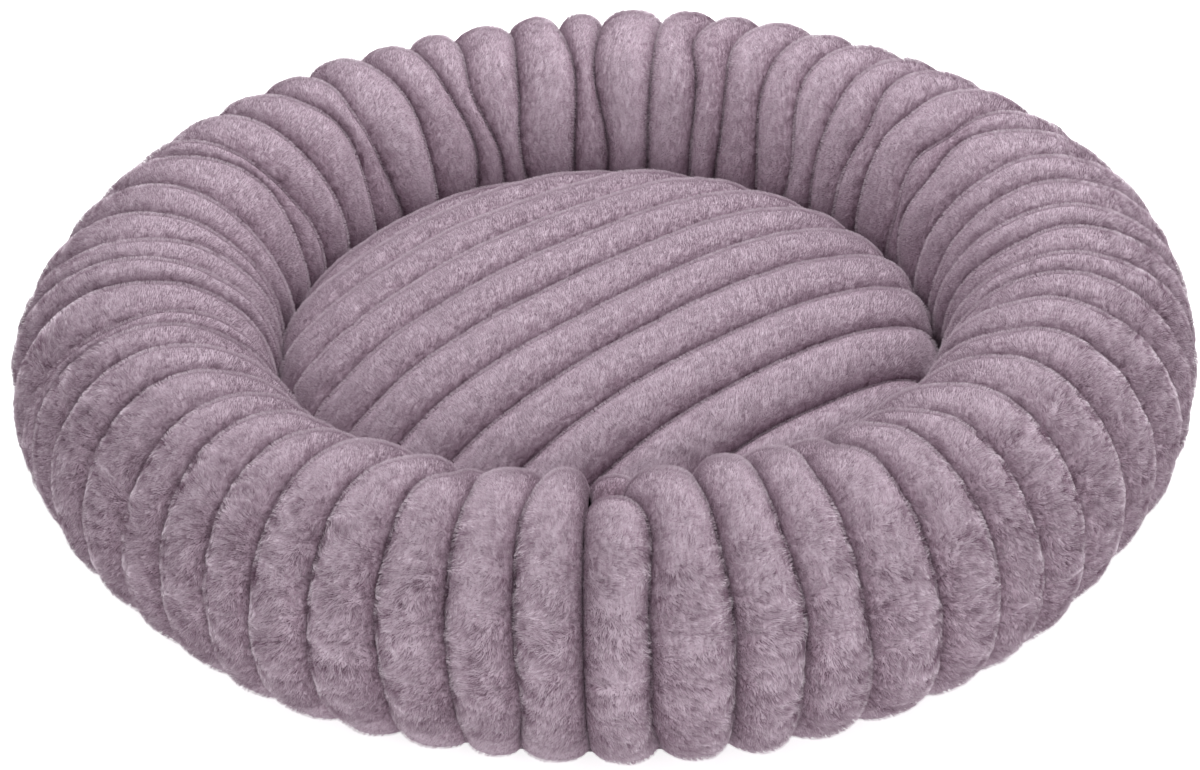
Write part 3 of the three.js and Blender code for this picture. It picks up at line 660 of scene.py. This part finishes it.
ring = {
    "radius": 236.0,
    "halfWidth": 64.0,
    "halfHeight": 65.0,
    "footFullness": 2.3,
    "footAngle": 75.5,  # degrees round the section; 0 is outermost, 90 the crest, 180 innermost
    "firstSeam": -93.0,  # degrees round from the right, where the two halves meet in front
    "rightRibs": 27,
    # how wide each rib lies on the crest, in degrees, from the front seam round by the right
    "ribWidths": [
        6.4, 6.6, 6.2, 6.4, 7.6, 6.2, 5.8, 6.8, 8.2, 7.2, 7.4, 6.0, 5.4, 6.8, 3.8, 7.4, 6.2, 7.4,
        6.0, 7.8, 5.8, 5.2, 7.4, 5.2, 7.4, 4.8, 7.6, 7.6, 5.8, 6.8, 6.8, 5.6, 7.0, 7.2, 6.4, 7.0,
        8.6, 4.4, 7.0, 8.0, 7.8, 4.6, 5.2, 8.2, 2.8, 4.9, 6.6, 7.6, 5.8, 6.2, 5.8, 6.8, 6.0, 6.8,
        6.2, 6.4],
    "steps": 16,
    "rows": 190,
    "valleyBase": 5.2,
    "valleyShare": 0.27,  # of the ribs' width, which a groove is deep beyond that
    "besideMix": (0.6, 0.4),  # of the narrower and the wider rib beside a groove
    "grooveFollows": 0.5,
    "roundness": 2.3,  # above 2 a rib's back is flatter than a circle
    "skinRaised": 0.4,
    "backing": 3.0,
    "seamFade": 38.0,
    "seamShare": 0.35,  # what is left of the grooves' depth at the base seam
    "innerPush": 0.25,  # how far the inner wall joins in a bulge
    "narrowest": 1.1,  # degrees that a rib keeps at least
    "sunkBy": (0.8, 2.2),  # mm that ribs sink at most by chance: everywhere, and more inside the ring
    "sunkMost": 0.8,  # of the groove's depth
    "sunkFullShade": 14.0,  # painted shade: mm at which a sunken rib is as dark as a groove
    "lumps": (((34, 22), 1.1), ((9, 9), 0.5)),  # uneven stuffing: grid steps, mm
    "locks": ((2.2, 2.6), 0.2, 0.25),  # uneven pile: grid steps, mm, how much more outside
    # places where a rib is pinched between its neighbours: rib, angle round the section,
    # how far along that reaches, how much of the width goes, how deep it sinks in mm
    "pinches": [
        (0, 110, 17, 0.25, 14.0), (18, 108, 20, 0.6, 5.0), (18, 160, 26, -0.3, 3.0),
        (4, 112, 14, 0.4, 4.0), (20, 128, 20, 0.4, 4.0),
        (25, 118, 45, 0.3, 4.0), (26, 95, 22, 0.3, 2.0), (44, 70, 45, 0.3, 3.0),
        (28, 125, 40, 0.3, 3.0), (37, 120, 35, 0.4, 4.0), (31, 140, 30, 0.35, 3.0),
        (53, 118, 18, 0.4, 4.0), (34, 150, 25, 0.3, 3.0), (24, 150, 30, 0.3, 3.0)],
    # where the stuffing pushes the ring out or lets it fall in: degrees round, reach, mm out, mm up
    "bulges": [
        (82, 24, 4.0, 5.0), (12, 13, 3.5, 0.0), (-33, 17, -7.0, 0.0),
        (-104, 12, -11.0, 0.0), (-136, 20, -8.0, 0.0), (180, 18, 4.0, 0.5)],
    # how far grooves stray: degrees round the section, degrees round the ring
    "wander": [(-60, 0.3), (-15, 0.35), (30, 0.35), (75, 0.4), (120, 1.2), (160, 1.5), (210, 1.2)],
    "wanderReach": 26,
    "wanderMost": 1.8,
    "backingEvery": (8, 5),
    # from where round the section, and over how many degrees, one look gives way to another
    "wallFade": (50, 45),
    "footFade": (-65, 45),
    "lowFade": (-60, 60),
    "insideFade": (80, 60),
    "hidden": (-40, 212),
    "patternStep": 37.0,  # mm that the cloth's pattern moves on from rib to rib
    "brushed": (0.7, 1.05),  # how far the pile leans away from the front seam: crest, outer wall
    "tousled": (0.42, 1.5),  # how uneven its locks are there
    "shag": (1.05, 1.45),  # how long they are there
    "footShag": 0.6,  # both again close to the base seam
    "footTousled": 0.6,
    "lessFlankShadeLow": 0.6,  # how much weaker the painted flank shade is near the floor
    "flankShadeSteps": (14, 11),
    "crestPaintedLight": (0.4, 90, 35),  # painted light along the crest: how much paler the pile is, where, reach
    "seed": 11,
}


def bent(value, power):
    # a power that keeps the sign
    return np.sign(value) * np.abs(value) ** power


def ringSection():
    # even steps along the ring's cross section, from the outer base seam over the crest
    foot = math.radians(ring["footAngle"])
    fine = np.linspace(-foot, math.pi + foot, 6001)
    power = np.where(np.sin(fine) < 0, 2 / ring["footFullness"], 1.0)
    r = ring["radius"] + ring["halfWidth"] * bent(np.cos(fine), power)
    z = ring["halfHeight"] * (1 + bent(np.sin(fine), power))
    length = np.concatenate([[0], np.cumsum(np.hypot(np.diff(r), np.diff(z)))])
    even = np.linspace(0, length[-1], ring["rows"] + 1)
    angle, r, z = (np.interp(even, length, a) for a in (fine, r, z))
    dr, dz = np.gradient(r), np.gradient(z)
    size = np.hypot(dr, dz)
    return {"angle": angle, "r": r, "z": z, "nr": dz / size, "nz": -dr / size, "length": even}


section = ringSection()


def stuffedOut(angle):
    # a hand-stuffed ring is never quite round: how far it stands out and up at each place
    outward, lift = np.zeros_like(angle), np.zeros_like(angle)
    for middle, reach, out, up in ring["bulges"]:
        away = (np.degrees(angle) - middle + 180) % 360 - 180
        share = np.exp(-(away / reach) ** 2)
        outward, lift = outward + out * share, lift + up * share
    return outward, lift


def ribEdges():
    rng = np.random.default_rng(ring["seed"])
    widths = np.array(ring["ribWidths"])
    half = ring["rightRibs"]
    crest = ring["firstSeam"] + np.concatenate([[0], np.cumsum(widths)]) * 360 / widths.sum()
    degrees = np.degrees(section["angle"])
    edges = np.repeat(crest[:, None], len(degrees), 1)
    for middle, amount in ring["wander"]:
        most = ring["wanderMost"] * amount
        shift = rng.normal(0, amount, len(crest)).clip(-most, most)
        shift[[0, half, -1]] = 0
        edges += shift[:, None] * np.exp(-((degrees - middle) / ring["wanderReach"]) ** 2)[None]
    sink = np.zeros((len(widths), len(degrees)))
    for rib, at, reach, squeeze, deep in ring["pinches"]:
        share = np.exp(-((degrees - at) / reach) ** 2)
        middle = (edges[rib] + edges[rib + 1]) / 2
        edges[rib] += (middle - edges[rib]) * squeeze * share
        edges[rib + 1] += (middle - edges[rib + 1]) * squeeze * share
        sink[rib] += deep * share
    for first, last in ((0, half), (half, len(widths))):
        gaps = np.maximum(np.diff(edges[first:last + 1], axis=0), ring["narrowest"])
        gaps *= (crest[last] - crest[first]) / gaps.sum(0)
        edges[first + 1:last + 1] = crest[first] + np.cumsum(gaps, 0)
    pinched = sink.copy()
    overall, inside = ring["sunkBy"]
    most = overall + inside * fadeIn(degrees, *ring["insideFade"])[None]
    sink += rng.uniform(0, 1, (len(widths), 1)) * most
    return np.radians(edges), sink, pinched


ribEdge, ribSink, ribPinched = ribEdges()


def ringDepths():
    # how deep each groove lies under the ring's outer form, in mm
    wide = np.diff(ribEdge, axis=0) * section["r"][None]
    beside = np.concatenate([wide[-1:], wide, wide[:1]])
    narrower, wider = ring["besideMix"]
    mean = np.minimum(beside[:-1], beside[1:]) * narrower + np.maximum(beside[:-1], beside[1:]) * wider
    deep = ring["valleyBase"] + ring["valleyShare"] * mean
    # a groove is deeper beside a rib that has sunk in
    sunk = np.concatenate([ribPinched[-1:], ribPinched, ribPinched[:1]])
    deep += ring["grooveFollows"] * np.maximum(sunk[:-1], sunk[1:])
    ends = np.minimum(section["length"], section["length"][-1] - section["length"])
    fade = ring["seamShare"] + (1 - ring["seamShare"]) * smoothStep(ends / ring["seamFade"])
    return deep * fade[None], fade


ringValley, ringFade = ringDepths()


def ringPoints(angle, depth, rows):
    s = {key: section[key][rows][None] for key in ("r", "z", "nr", "nz", "length")}
    ends = np.minimum(s["length"], section["length"][-1] - s["length"])
    free = smoothStep(ends / ring["seamFade"])
    outward, lift = stuffedOut(angle)
    r = s["r"] - depth * s["nr"] + outward * free * np.maximum(s["nr"], -ring["innerPush"])
    z = s["z"] - depth * s["nz"] + lift * free * s["z"] / (2 * ring["halfHeight"])
    return np.stack([r * np.cos(angle), r * np.sin(angle), z], -1) * mm


def ringSkin(first, last, seed):
    rng = np.random.default_rng(seed)
    rib, t = ribSteps(first, last, ring["steps"])
    t = t[:, None]
    rows = np.arange(ring["rows"] + 1)
    angle = ribEdge[rib] * (1 - t) + ribEdge[rib + 1] * t
    crown = ribRound(t, ring["roundness"])
    valley = ringValley[rib] * (1 - t) + ringValley[rib + 1] * t
    crest = np.minimum(ribSink[rib], ring["sunkMost"] * valley)
    depth = crest * crown + valley * (1 - crown)
    degrees = np.degrees(section["angle"])[None] + np.zeros_like(depth)
    wall = 1 - fadeIn(degrees, *ring["wallFade"])
    lumps = hills(depth.shape, ring["lumps"], rng)
    cells, overall, outside = ring["locks"]
    locks = lattice(depth.shape, cells, rng) * (overall + outside * wall)
    depth = depth - (lumps + locks) * (crown * ringFade[None]) - ring["skinRaised"]
    points = ringPoints(angle, depth, rows)
    smooth = ringPoints(angle, np.zeros_like(depth), rows)
    away = (t - 0.5) * (ribEdge[rib + 1] - ribEdge[rib]) * section["r"][None]
    along = np.broadcast_to(section["length"][None], depth.shape)
    moved = np.broadcast_to(rib[:, None] * ring["patternStep"], depth.shape)
    place = np.stack([away, along, moved], -1)
    # painted shade: dark in the grooves and on ribs that have sunk in
    openness = np.clip(crown * (1 - crest / ring["sunkFullShade"]), 0, 1) * np.ones_like(depth)
    low, high = ring["hidden"]
    seen = np.where((degrees < low) | (degrees > high), pile["hiddenShare"], 1.0)
    leans, tousled, shag = (onCrest + (outside - onCrest) * wall for onCrest, outside in
                            (ring["brushed"], ring["tousled"], ring["shag"]))
    shag = shag + (ring["footShag"] - shag) * (1 - fadeIn(degrees, *ring["footFade"]))
    nearFloor = 1 - fadeIn(degrees, *ring["lowFade"])
    tousled = tousled + (ring["footTousled"] - tousled) * nearFloor
    side = 1 if first == 0 else -1
    across = (2 * t - 1) * side
    leans = leans * stoppedByNext(across)
    # painted shade on one flank of each rib and painted light on the other, weaker near the floor, and
    # painted light along the crest
    ruffled = paintedFlankShading(across, depth.shape, ring["flankShadeSteps"], rng)
    ruffled *= 1 - ring["lessFlankShadeLow"] * nearFloor
    paler, at, reach = ring["crestPaintedLight"]
    ruffled -= paler * np.exp(-((degrees - at) / reach) ** 2)
    brushed = np.stack([-np.sin(angle), np.cos(angle), 0 * angle], -1) * (side * leans)[..., None]
    return {"points": points, "normals": gridNormals(points), "outward": gridNormals(smooth),
            "openness": openness, "place": place, "angle": angle, "seen": seen, "shag": shag,
            "ruffled": ruffled, "brushed": brushed, "tousled": tousled}


def ringCover(name, node, first, last, seed):
    skin = ringSkin(first, last, seed)
    stepU, stepV = ring["backingEvery"]
    rows = np.arange(0, ring["rows"] + 1, stepV)
    angle = skin["angle"][::stepU, ::stepV]
    deepest = ringValley.max(0)[rows][None] + ring["backing"]
    inner = ringPoints(angle, np.broadcast_to(deepest, angle.shape), rows)
    return plushCover(name, node, skin, inner, "bed", name + "_pile", seed)


ringCovers = [ringCover("ring_plush_right", "ring_cover_right", 0, ring["rightRibs"], 21),
              ringCover("ring_plush_left", "ring_cover_left", ring["rightRibs"],
                        len(ring["ribWidths"]), 22)]
print("ring covers are made")


# The cushion

cushion = {
    "radius": 171.0,
    "turn": 40.0,  # degrees from the bed's right to the cushion's ribs
    "seamHeight": 50.0,
    "crownHeight": 108.0,
    "sharpness": 2.6,
    "fullness": 2.2,
    "ribPitch": 30.5,
    "ribOffset": 11.8,
    "leastRib": 0.15,  # of the pitch: a narrower rib at the rim joins the one beside it
    "ribDepth": 11.0,
    "depthOfNarrow": 0.4,  # a narrow rib's groove is no deeper than this share of its width
    "roundness": 2.4,
    "steps": 18,
    "columns": 200,
    "endGap": 0.5,
    "rimFade": 30.0,
    "rimShare": 0.45,
    "bow": (40, 0.9, 20.0),  # how grooves stray: grid steps, mm, straight from this near the rim
    "lumps": (((30, 30), 1.0), ((5, 4), 0.5)),  # uneven stuffing: grid steps, mm
    "locks": ((1.6, 2.2), 0.2),
    "patternStep": 41.0,
    "skinRaised": 0.7,
    "backing": 3.0,
    "backingEvery": (10, 9),
    "hiddenRim": 6.0,
    "soleInset": 36.0,  # from the side seam in to where the underside lies flat
    "brushed": 0.7,  # the pile leans to the back, across the ribs
    "flankShadeSteps": (11, 14),
    "tousled": 0.33,
    "shag": 1.0,
    "filling": (8.0, 0.02, 0.05),  # over this height it draws in and sinks by these shares
    "seed": 31,
}


def toRim(offset):
    # how far the rim is from the middle of a straight cut, that far from the cushion's middle
    return np.sqrt(cushion["radius"] ** 2 - offset ** 2)


def roundNormals(surface):
    # on the rim itself, where the lines of a grid run together, they point straight out
    normals = gridNormals(surface)
    rim = np.hypot(surface[..., 0], surface[..., 1]) > 0.9999 * cushion["radius"]
    normals[rim] = unit(surface * np.array([1.0, 1.0, 0.0]))[rim]
    return normals


def crownPoints(x, y, depth):
    c = cushion
    share = np.clip(np.hypot(x, y) / c["radius"], 0, 1)
    rise = c["crownHeight"] - c["seamHeight"]
    z = c["seamHeight"] + rise * np.maximum(1 - share ** c["sharpness"], 0) ** (1 / c["fullness"])
    surface = np.stack([x, y, z], -1)
    return surface - depth[..., None] * roundNormals(surface), surface


def cushionTop():
    c = cushion
    rng = np.random.default_rng(c["seed"])
    reach = c["radius"] - c["endGap"]
    first = math.ceil((-reach - c["ribOffset"]) / c["ribPitch"])
    last = math.floor((reach - c["ribOffset"]) / c["ribPitch"])
    edges = [c["ribOffset"] + k * c["ribPitch"] for k in range(first, last + 1)]
    if edges[0] + reach < c["ribPitch"] * c["leastRib"]:
        edges = edges[1:]
    edges = np.array([-reach, *edges, reach])
    rib, t = ribSteps(0, len(edges) - 1, c["steps"])
    y0 = edges[rib] * (1 - t) + edges[rib + 1] * t
    s = np.sin(np.pi / 2 * np.linspace(-1, 1, c["columns"] + 1))
    x = s[:, None] * toRim(y0)[None]
    cells, stray, straight = c["bow"]
    bow = lattice(x.shape, (cells, c["steps"]), rng) * stray
    y = y0[None] + bow * np.clip((reach - np.abs(y0[None])) / straight, 0, 1) * (1 - s[:, None] ** 2)
    # the first and the last line of the grid follow the rim itself
    y[:, 0] = -toRim(x[:, 0])
    y[:, -1] = toRim(x[:, -1])
    crown = ribRound(t, c["roundness"])[None]
    crown = np.where((rib == 0) & (t < 0.5), 1.0, crown)
    crown = np.where((rib == len(edges) - 2) & (t > 0.5), 1.0, crown)
    inward = c["radius"] - np.hypot(x, y)
    fade = c["rimShare"] + (1 - c["rimShare"]) * smoothStep(inward / c["rimFade"])
    lumps = hills(x.shape, c["lumps"], rng)
    locks = hills(x.shape, [c["locks"]], rng)
    wide = np.diff(edges)[rib][None]
    deep = np.minimum(c["ribDepth"], c["depthOfNarrow"] * wide)
    depth = deep * (1 - crown) * fade - (lumps + locks) * crown * fade - c["skinRaised"]
    points, smooth = crownPoints(x, y, depth)
    points = turned(points, c["turn"]) * mm
    smooth = turned(smooth, c["turn"]) * mm
    place = np.stack([(t - 0.5)[None] * wide * np.ones_like(x), x,
                      np.broadcast_to(rib * c["patternStep"], x.shape)], -1)
    # openness is painted shade in the grooves; ruffled is painted shade on one flank and painted light on
    # the other
    skin = {"points": points, "normals": gridNormals(points), "outward": gridNormals(smooth),
            "openness": crown * np.ones_like(x), "place": place, "shag": np.full(x.shape, c["shag"]),
            "ruffled": paintedFlankShading((2 * t - 1)[None], x.shape, c["flankShadeSteps"], rng),
            "brushed": c["brushed"] * stoppedByNext(2 * t - 1)[None, :, None]
            * turned(np.array([0.0, 1.0, 0.0]), c["turn"]),
            "tousled": np.full(x.shape, c["tousled"]),
            "seen": np.where(inward < c["hiddenRim"], pile["hiddenShare"], 1.0)}
    stepU, stepV = c["backingEvery"]
    under = c["ribDepth"] * fade + c["backing"]
    inner, _ = crownPoints(x[::stepU, ::stepV], y[::stepU, ::stepV], under[::stepU, ::stepV])
    inner = turned(inner, c["turn"]) * mm
    plushCover("cushion_plush", "cushion_top_panel", skin, inner, "cushion", "cushion_pile",
               c["seed"])


cushionTop()
print("cushion top is made")


# Cloths and fillings that keep the shape of their solids

def clothOver(name, node, material, body, cuts, keptClear=False):
    made = bmesh.new()
    made.from_mesh(nodes[node].data)
    bmesh.ops.remove_doubles(made, verts=made.verts, dist=0.002 * mm)
    bmesh.ops.subdivide_edges(made, edges=made.edges, cuts=cuts, use_grid_fill=True)
    if keptClear:
        for vertex in made.verts:
            vertex.co = underCrown(vertex.co)
    mesh = newMesh(name, [], [], material)
    made.to_mesh(mesh)
    made.free()
    piece = pieceOf(mesh, body)
    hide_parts(node)
    return piece


hoopFilling = {
    "everyRow": 5,
    "everyDegree": 3.0,
    "clearOfCover": 1.0,
    "clearOfLining": 0.3,
}


def ringWadding():
    # a full hoop inside both covers, which keeps clear of the deepest grooves
    h = hoopFilling
    rows = np.arange(0, ring["rows"] + 1, h["everyRow"])
    angle = np.radians(np.arange(0, 360, h["everyDegree"]))[:, None]
    inset = (ringValley.max(0)[rows] + ring["backing"] + h["clearOfCover"])[None]
    hoop = ringPoints(angle, np.broadcast_to(inset, (len(angle), len(rows))), rows)
    hoop[..., 2] = np.maximum(hoop[..., 2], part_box("well_lining")[1][2] + h["clearOfLining"] * mm)
    turns, around = hoop.shape[:2]
    ids = np.arange(turns * around).reshape(turns, around)
    nextTurn, nextRow = np.roll(ids, -1, 0), np.roll(ids, -1, 1)
    faces = np.stack([ids, nextTurn, np.roll(nextTurn, -1, 1), nextRow], -1).reshape(-1, 4)
    made = pieceOf(newMesh("ring_wadding", hoop, faces.tolist(), wadding), "bed")
    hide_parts("ring_filling")


def underCrown(co):
    # what fills the cushion keeps clear of its grooves too
    seam = cushion["seamHeight"] * mm
    if co.z < seam:
        return co
    over, drawnIn, sunk = cushion["filling"]
    narrower = 1 - drawnIn * min(1.0, (co.z - seam) / (over * mm))
    return Vector((co.x * narrower, co.y * narrower, seam + (co.z - seam) * (1 - sunk)))


def closedLoops(loops):
    # faces from one loop of vertices to the next, and one over each end
    ids = np.arange(loops.shape[0] * loops.shape[1]).reshape(loops.shape[:2])
    beside = np.roll(ids, -1, 1)
    quads = np.stack([ids[:-1], beside[:-1], beside[1:], ids[1:]], -1).reshape(-1, 4)
    return quads.tolist() + [ids[0][::-1].tolist(), ids[-1].tolist()]


base = {
    "discRings": 14,
    "middleShare": 0.04,
    "edgeSteps": 7,
    "everyDegree": 2.5,
    "dotPitch": 9.0,
    "dotAcross": 3.2,
    "dotHigh": 0.5,
    "dotSides": 8,
    # a dot's loops from inside the cloth down to the floor: share of its radius, of its height
    "dotLoops": ((1.0, 1.1), (0.92, 0.35), (0.62, 0.0)),
    "bareEdge": 9.0,  # cloth without dots beside the base seam
}


def clothDisc(name, node, material, radius, low, high):
    # a round cut of cloth, in mm, with a turned edge and a small closing face in each middle
    edge, count = (high - low) / 2, base["discRings"]
    shares = np.linspace(base["middleShare"], 1, count)
    arc = np.linspace(-math.pi / 2, math.pi / 2, base["edgeSteps"])[1:-1]
    r = np.concatenate([shares * (radius - edge), radius - edge + edge * np.cos(arc),
                        shares[::-1] * (radius - edge)])
    z = np.concatenate([np.full(count, low), (low + high) / 2 + edge * np.sin(arc), np.full(count, high)])
    around = np.radians(np.arange(0, 360, base["everyDegree"]))
    loops = np.stack([r[:, None] * np.cos(around), r[:, None] * np.sin(around),
                      z[:, None] + 0 * around], -1)
    made = pieceOf(newMesh(name, loops * mm, closedLoops(loops), material), "bed")
    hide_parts(node)
    return made


def tubes(name, paths, across, sides, reference, material, body):
    # round threads or wires along many paths, each with its ends closed
    turn = np.arange(sides)[:, None] / sides * 2 * math.pi
    vertices, faces, first = [], [], 0
    for path in paths:
        along = unit(np.gradient(path, axis=0))
        aside = unit(np.cross(along, reference))
        over = np.cross(along, aside)
        loops = path[:, None] + across / 2 * (
            aside[:, None] * np.cos(turn) + over[:, None] * np.sin(turn))
        vertices.append(loops.reshape(-1, 3) * mm)
        faces += [[first + i for i in face] for face in closedLoops(loops)]
        first += len(vertices[-1])
    return pieceOf(newMesh(name, np.concatenate(vertices), faces, material), body)


def gripDots(radius):
    # low domes of soft vinyl in a six-sided pattern, which the whole bed stands on
    pitch, reach = base["dotPitch"], radius - base["bareEdge"]
    count = int(reach / pitch / math.sqrt(0.75)) + 2
    i, j = np.meshgrid(np.arange(-count, count + 1), np.arange(-count, count + 1), indexing="ij")
    x, y = pitch * (i + 0.5 * (j % 2)), pitch * math.sqrt(0.75) * j
    kept = np.hypot(x, y) < reach
    middles = np.stack([x[kept], y[kept], 0 * y[kept]], -1)
    turn = np.arange(base["dotSides"]) / base["dotSides"] * 2 * math.pi
    r, z = np.array(base["dotLoops"]).T * [[base["dotAcross"] / 2], [base["dotHigh"]]]
    dot = np.stack([r[:, None] * np.cos(turn), r[:, None] * np.sin(turn), z[:, None] + 0 * turn], -1)
    vertices = middles[:, None] + dot.reshape(-1, 3)[None]
    # the loops go down, so their faces are turned to point out
    faces = [[first + i for i in face[::-1]] for first in range(0, vertices.size // 3, dot.size // 3)
             for face in closedLoops(dot)]
    return pieceOf(newMesh("grip_dots", vertices * mm, faces, gripVinyl), "bed")


def heightOf(node):
    low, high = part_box(node)
    return low[2] / mm, high[2] / mm


baseRadius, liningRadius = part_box("base_panel")[1][0] / mm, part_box("well_lining")[1][0] / mm
baseLow, baseHigh = heightOf("base_panel")
liningLow, liningHigh = heightOf("well_lining")
baseCloth = clothDisc("base_cloth", "base_panel", gripCloth, baseRadius,
                      baseLow + base["dotHigh"], baseHigh)
liningCloth = clothDisc("lining_cloth", "well_lining", plainCloth, liningRadius,
                        liningLow, liningHigh)
dots = gripDots(baseRadius)


ringWadding()
print("base, lining and the ring's filling are made")

zipDetail = {
    "coilPitch": 1.4,
    "wireAcross": 0.62,
    "pointsPerTurn": 12,
    "wireSides": 6,
    "squareness": 0.75,  # below 1 the loops of the coil are nearer to a rectangle
    "stitchLong": 2.4,
    "stitchEvery": 3.1,
    "threadAcross": 0.42,
    # a stitch dips into the cloth at its ends: share of its length, rise in thicknesses
    "stitchBend": ((0.0, -0.6), (0.15, 0.2), (0.5, 0.35), (0.85, 0.2), (1.0, -0.6)),
    "slotHalf": 6.9,
    "slotReach": 135.0,  # from the middle to where the sole's two halves close
    "slotCloses": 2.5,
    "troughHalf": 15.7,
    "troughSlope": 26.0,
    "sewnGap": 0.15,
    "soleGrid": (44, 120),
    "soleThick": 1.5,
    "rows": (2.6, 6.4),  # how far from the slot's edge the stitches run
    "rowReach": 128.0,
    "tacks": (138.4, 141.4, 0.5),  # threads across each end of the slot: from, to, every
    "tackLong": 8.0,
    "soleUnderTape": 1.8,  # from the tape down to the underside of the sole
}


def alongZip(x, y, z):
    return turned(np.stack(np.broadcast_arrays(x, y, z), -1), cushion["turn"])


def spanOf(node):
    # a node's lowest and highest corner in the zip's own frame, in mm
    places = np.array([vertex.co for vertex in nodes[node].data.vertices])
    places = turned(places, -cushion["turn"]) / mm
    return places.min(0), places.max(0)


soleLow = spanOf("zip_tape_front")[0][2] - zipDetail["soleUnderTape"]  # its underside at the zip
soleRest = heightOf("cushion_sole_front")[0]  # and where it lies on the lining


def soleHeight(x, y):
    # flat in the middle, a quarter of an ellipse up to the side seam, and a trough for the zip
    c, d = cushion, zipDetail
    top = c["seamHeight"] - 2 * d["sewnGap"]
    out = np.clip((np.hypot(x, y) - c["radius"]) / c["soleInset"] + 1, 0, 1)
    edge = top - (top - soleRest) * np.sqrt(1 - out ** 2)
    alongFade = np.clip((d["slotReach"] - np.abs(x)) / d["troughSlope"] + 1, 0, 1)
    acrossFade = np.clip((d["troughHalf"] - np.abs(y)) / d["troughSlope"] + 1, 0, 1)
    return np.maximum(edge, soleRest + (soleLow - soleRest) * alongFade * acrossFade)


def soleHalf(side):
    # half a disc; past the zip the two halves are sewn together, so the slot ends square
    c, d = cushion, zipDetail
    rowCount, columnCount = d["soleGrid"]
    rows = np.sin(np.pi / 2 * np.linspace(0, 1, rowCount + 1))[:, None]
    rows = d["slotHalf"] + (c["radius"] - c["endGap"] - d["slotHalf"]) * rows
    s = np.sin(np.pi / 2 * np.linspace(-1, 1, columnCount + 1))
    x = s * toRim(rows)
    closing = fadeIn(np.abs(x), d["slotReach"], d["slotCloses"])
    closing = closing * (1 - fadeIn(rows, d["slotHalf"], d["troughHalf"] - d["slotHalf"]))
    y = rows + (d["sewnGap"] - d["slotHalf"]) * closing
    y[-1] = toRim(x[-1])
    x[:-1] = s * toRim(y[:-1])
    under = np.stack([x, y, soleHeight(x, y)], -1)
    inside = under - d["soleThick"] * roundNormals(under)
    turn = c["turn"] + (0 if side == "rear" else 180)
    made = closedShell("sole_cloth_" + side, turned(under, turn) * mm, turned(inside, turn) * mm,
                       plainCloth, "cushion", {})
    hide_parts("cushion_sole_" + side)
    return made


soles = [soleHalf(side) for side in ("front", "rear")]
bagTop = clothOver("bag_cloth_top", "inner_bag_top", bagCloth, "cushion", 1,
                   keptClear=True)
bagBottom = clothOver("bag_cloth_bottom", "inner_bag_bottom", bagCloth, "cushion", 1)
stuffing = clothOver("cushion_wadding", "cushion_filling", wadding, "cushion", 1,
                     keptClear=True)
tapes = [clothOver("tape_cloth_" + side, "zip_tape_" + side, tapeCloth, "cushion", 3)
         for side in ("front", "rear")]


def coilRow(side):
    # drawn nylon wire wound flat, the size of the plain bar that stands for it
    d = zipDetail
    low, high = spanOf("zip_coil_" + side)
    half = (high - low - d["wireAcross"]) / 2
    middle = (high + low) / 2
    turns = int(2 * half[0] / d["coilPitch"])
    t = np.linspace(0, turns * 2 * math.pi, turns * d["pointsPerTurn"] + 1)
    x = middle[0] + half[0] * (t / t[-1] * 2 - 1)
    y = middle[1] + half[1] * bent(np.cos(t), d["squareness"])
    z = middle[2] + half[2] * bent(np.sin(t), d["squareness"])
    row = tubes("coil_" + side, [alongZip(x, y, z)], d["wireAcross"], d["wireSides"],
                alongZip(1.0, 0.0, 0.0), coilNylon, "cushion")
    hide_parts("zip_coil_" + side)


def stitchRows(side):
    # lockstitch through sole and tape, in short threads
    d = zipDetail
    sign = 1 if side == "rear" else -1
    shares, drops = np.array(d["stitchBend"]).T
    drops = d["threadAcross"] * drops
    paths = [alongZip(start + d["stitchLong"] * shares, sign * (d["slotHalf"] + row), soleLow - drops)
             for row in d["rows"] for start in np.arange(-d["rowReach"], d["rowReach"], d["stitchEvery"])]
    # and the tack across one end of the slot
    for x in np.arange(*d["tacks"]):
        paths.append(alongZip(sign * x, d["tackLong"] * (shares - 0.5),
                              soleHeight(x, 0.0) - drops))
    return tubes("stitches_" + side, paths, d["threadAcross"], d["wireSides"],
                 np.array([0.0, 0.0, 1.0]), sewingThread, "cushion")


for side, sole, tape in zip(("front", "rear"), soles, tapes):
    coilRow(side)
    stitchRows(side)
print("soles, bag, filling and the zip's seams are made")

for node in ("top_stop_front", "top_stop_rear", "end_stop", "slider", "pull"):
    finishes = nodes["zip_" + node].data.materials
    finishes.clear()
    finishes.append(stopMetal if "stop" in node else sliderMetal)
print("zip is finished")
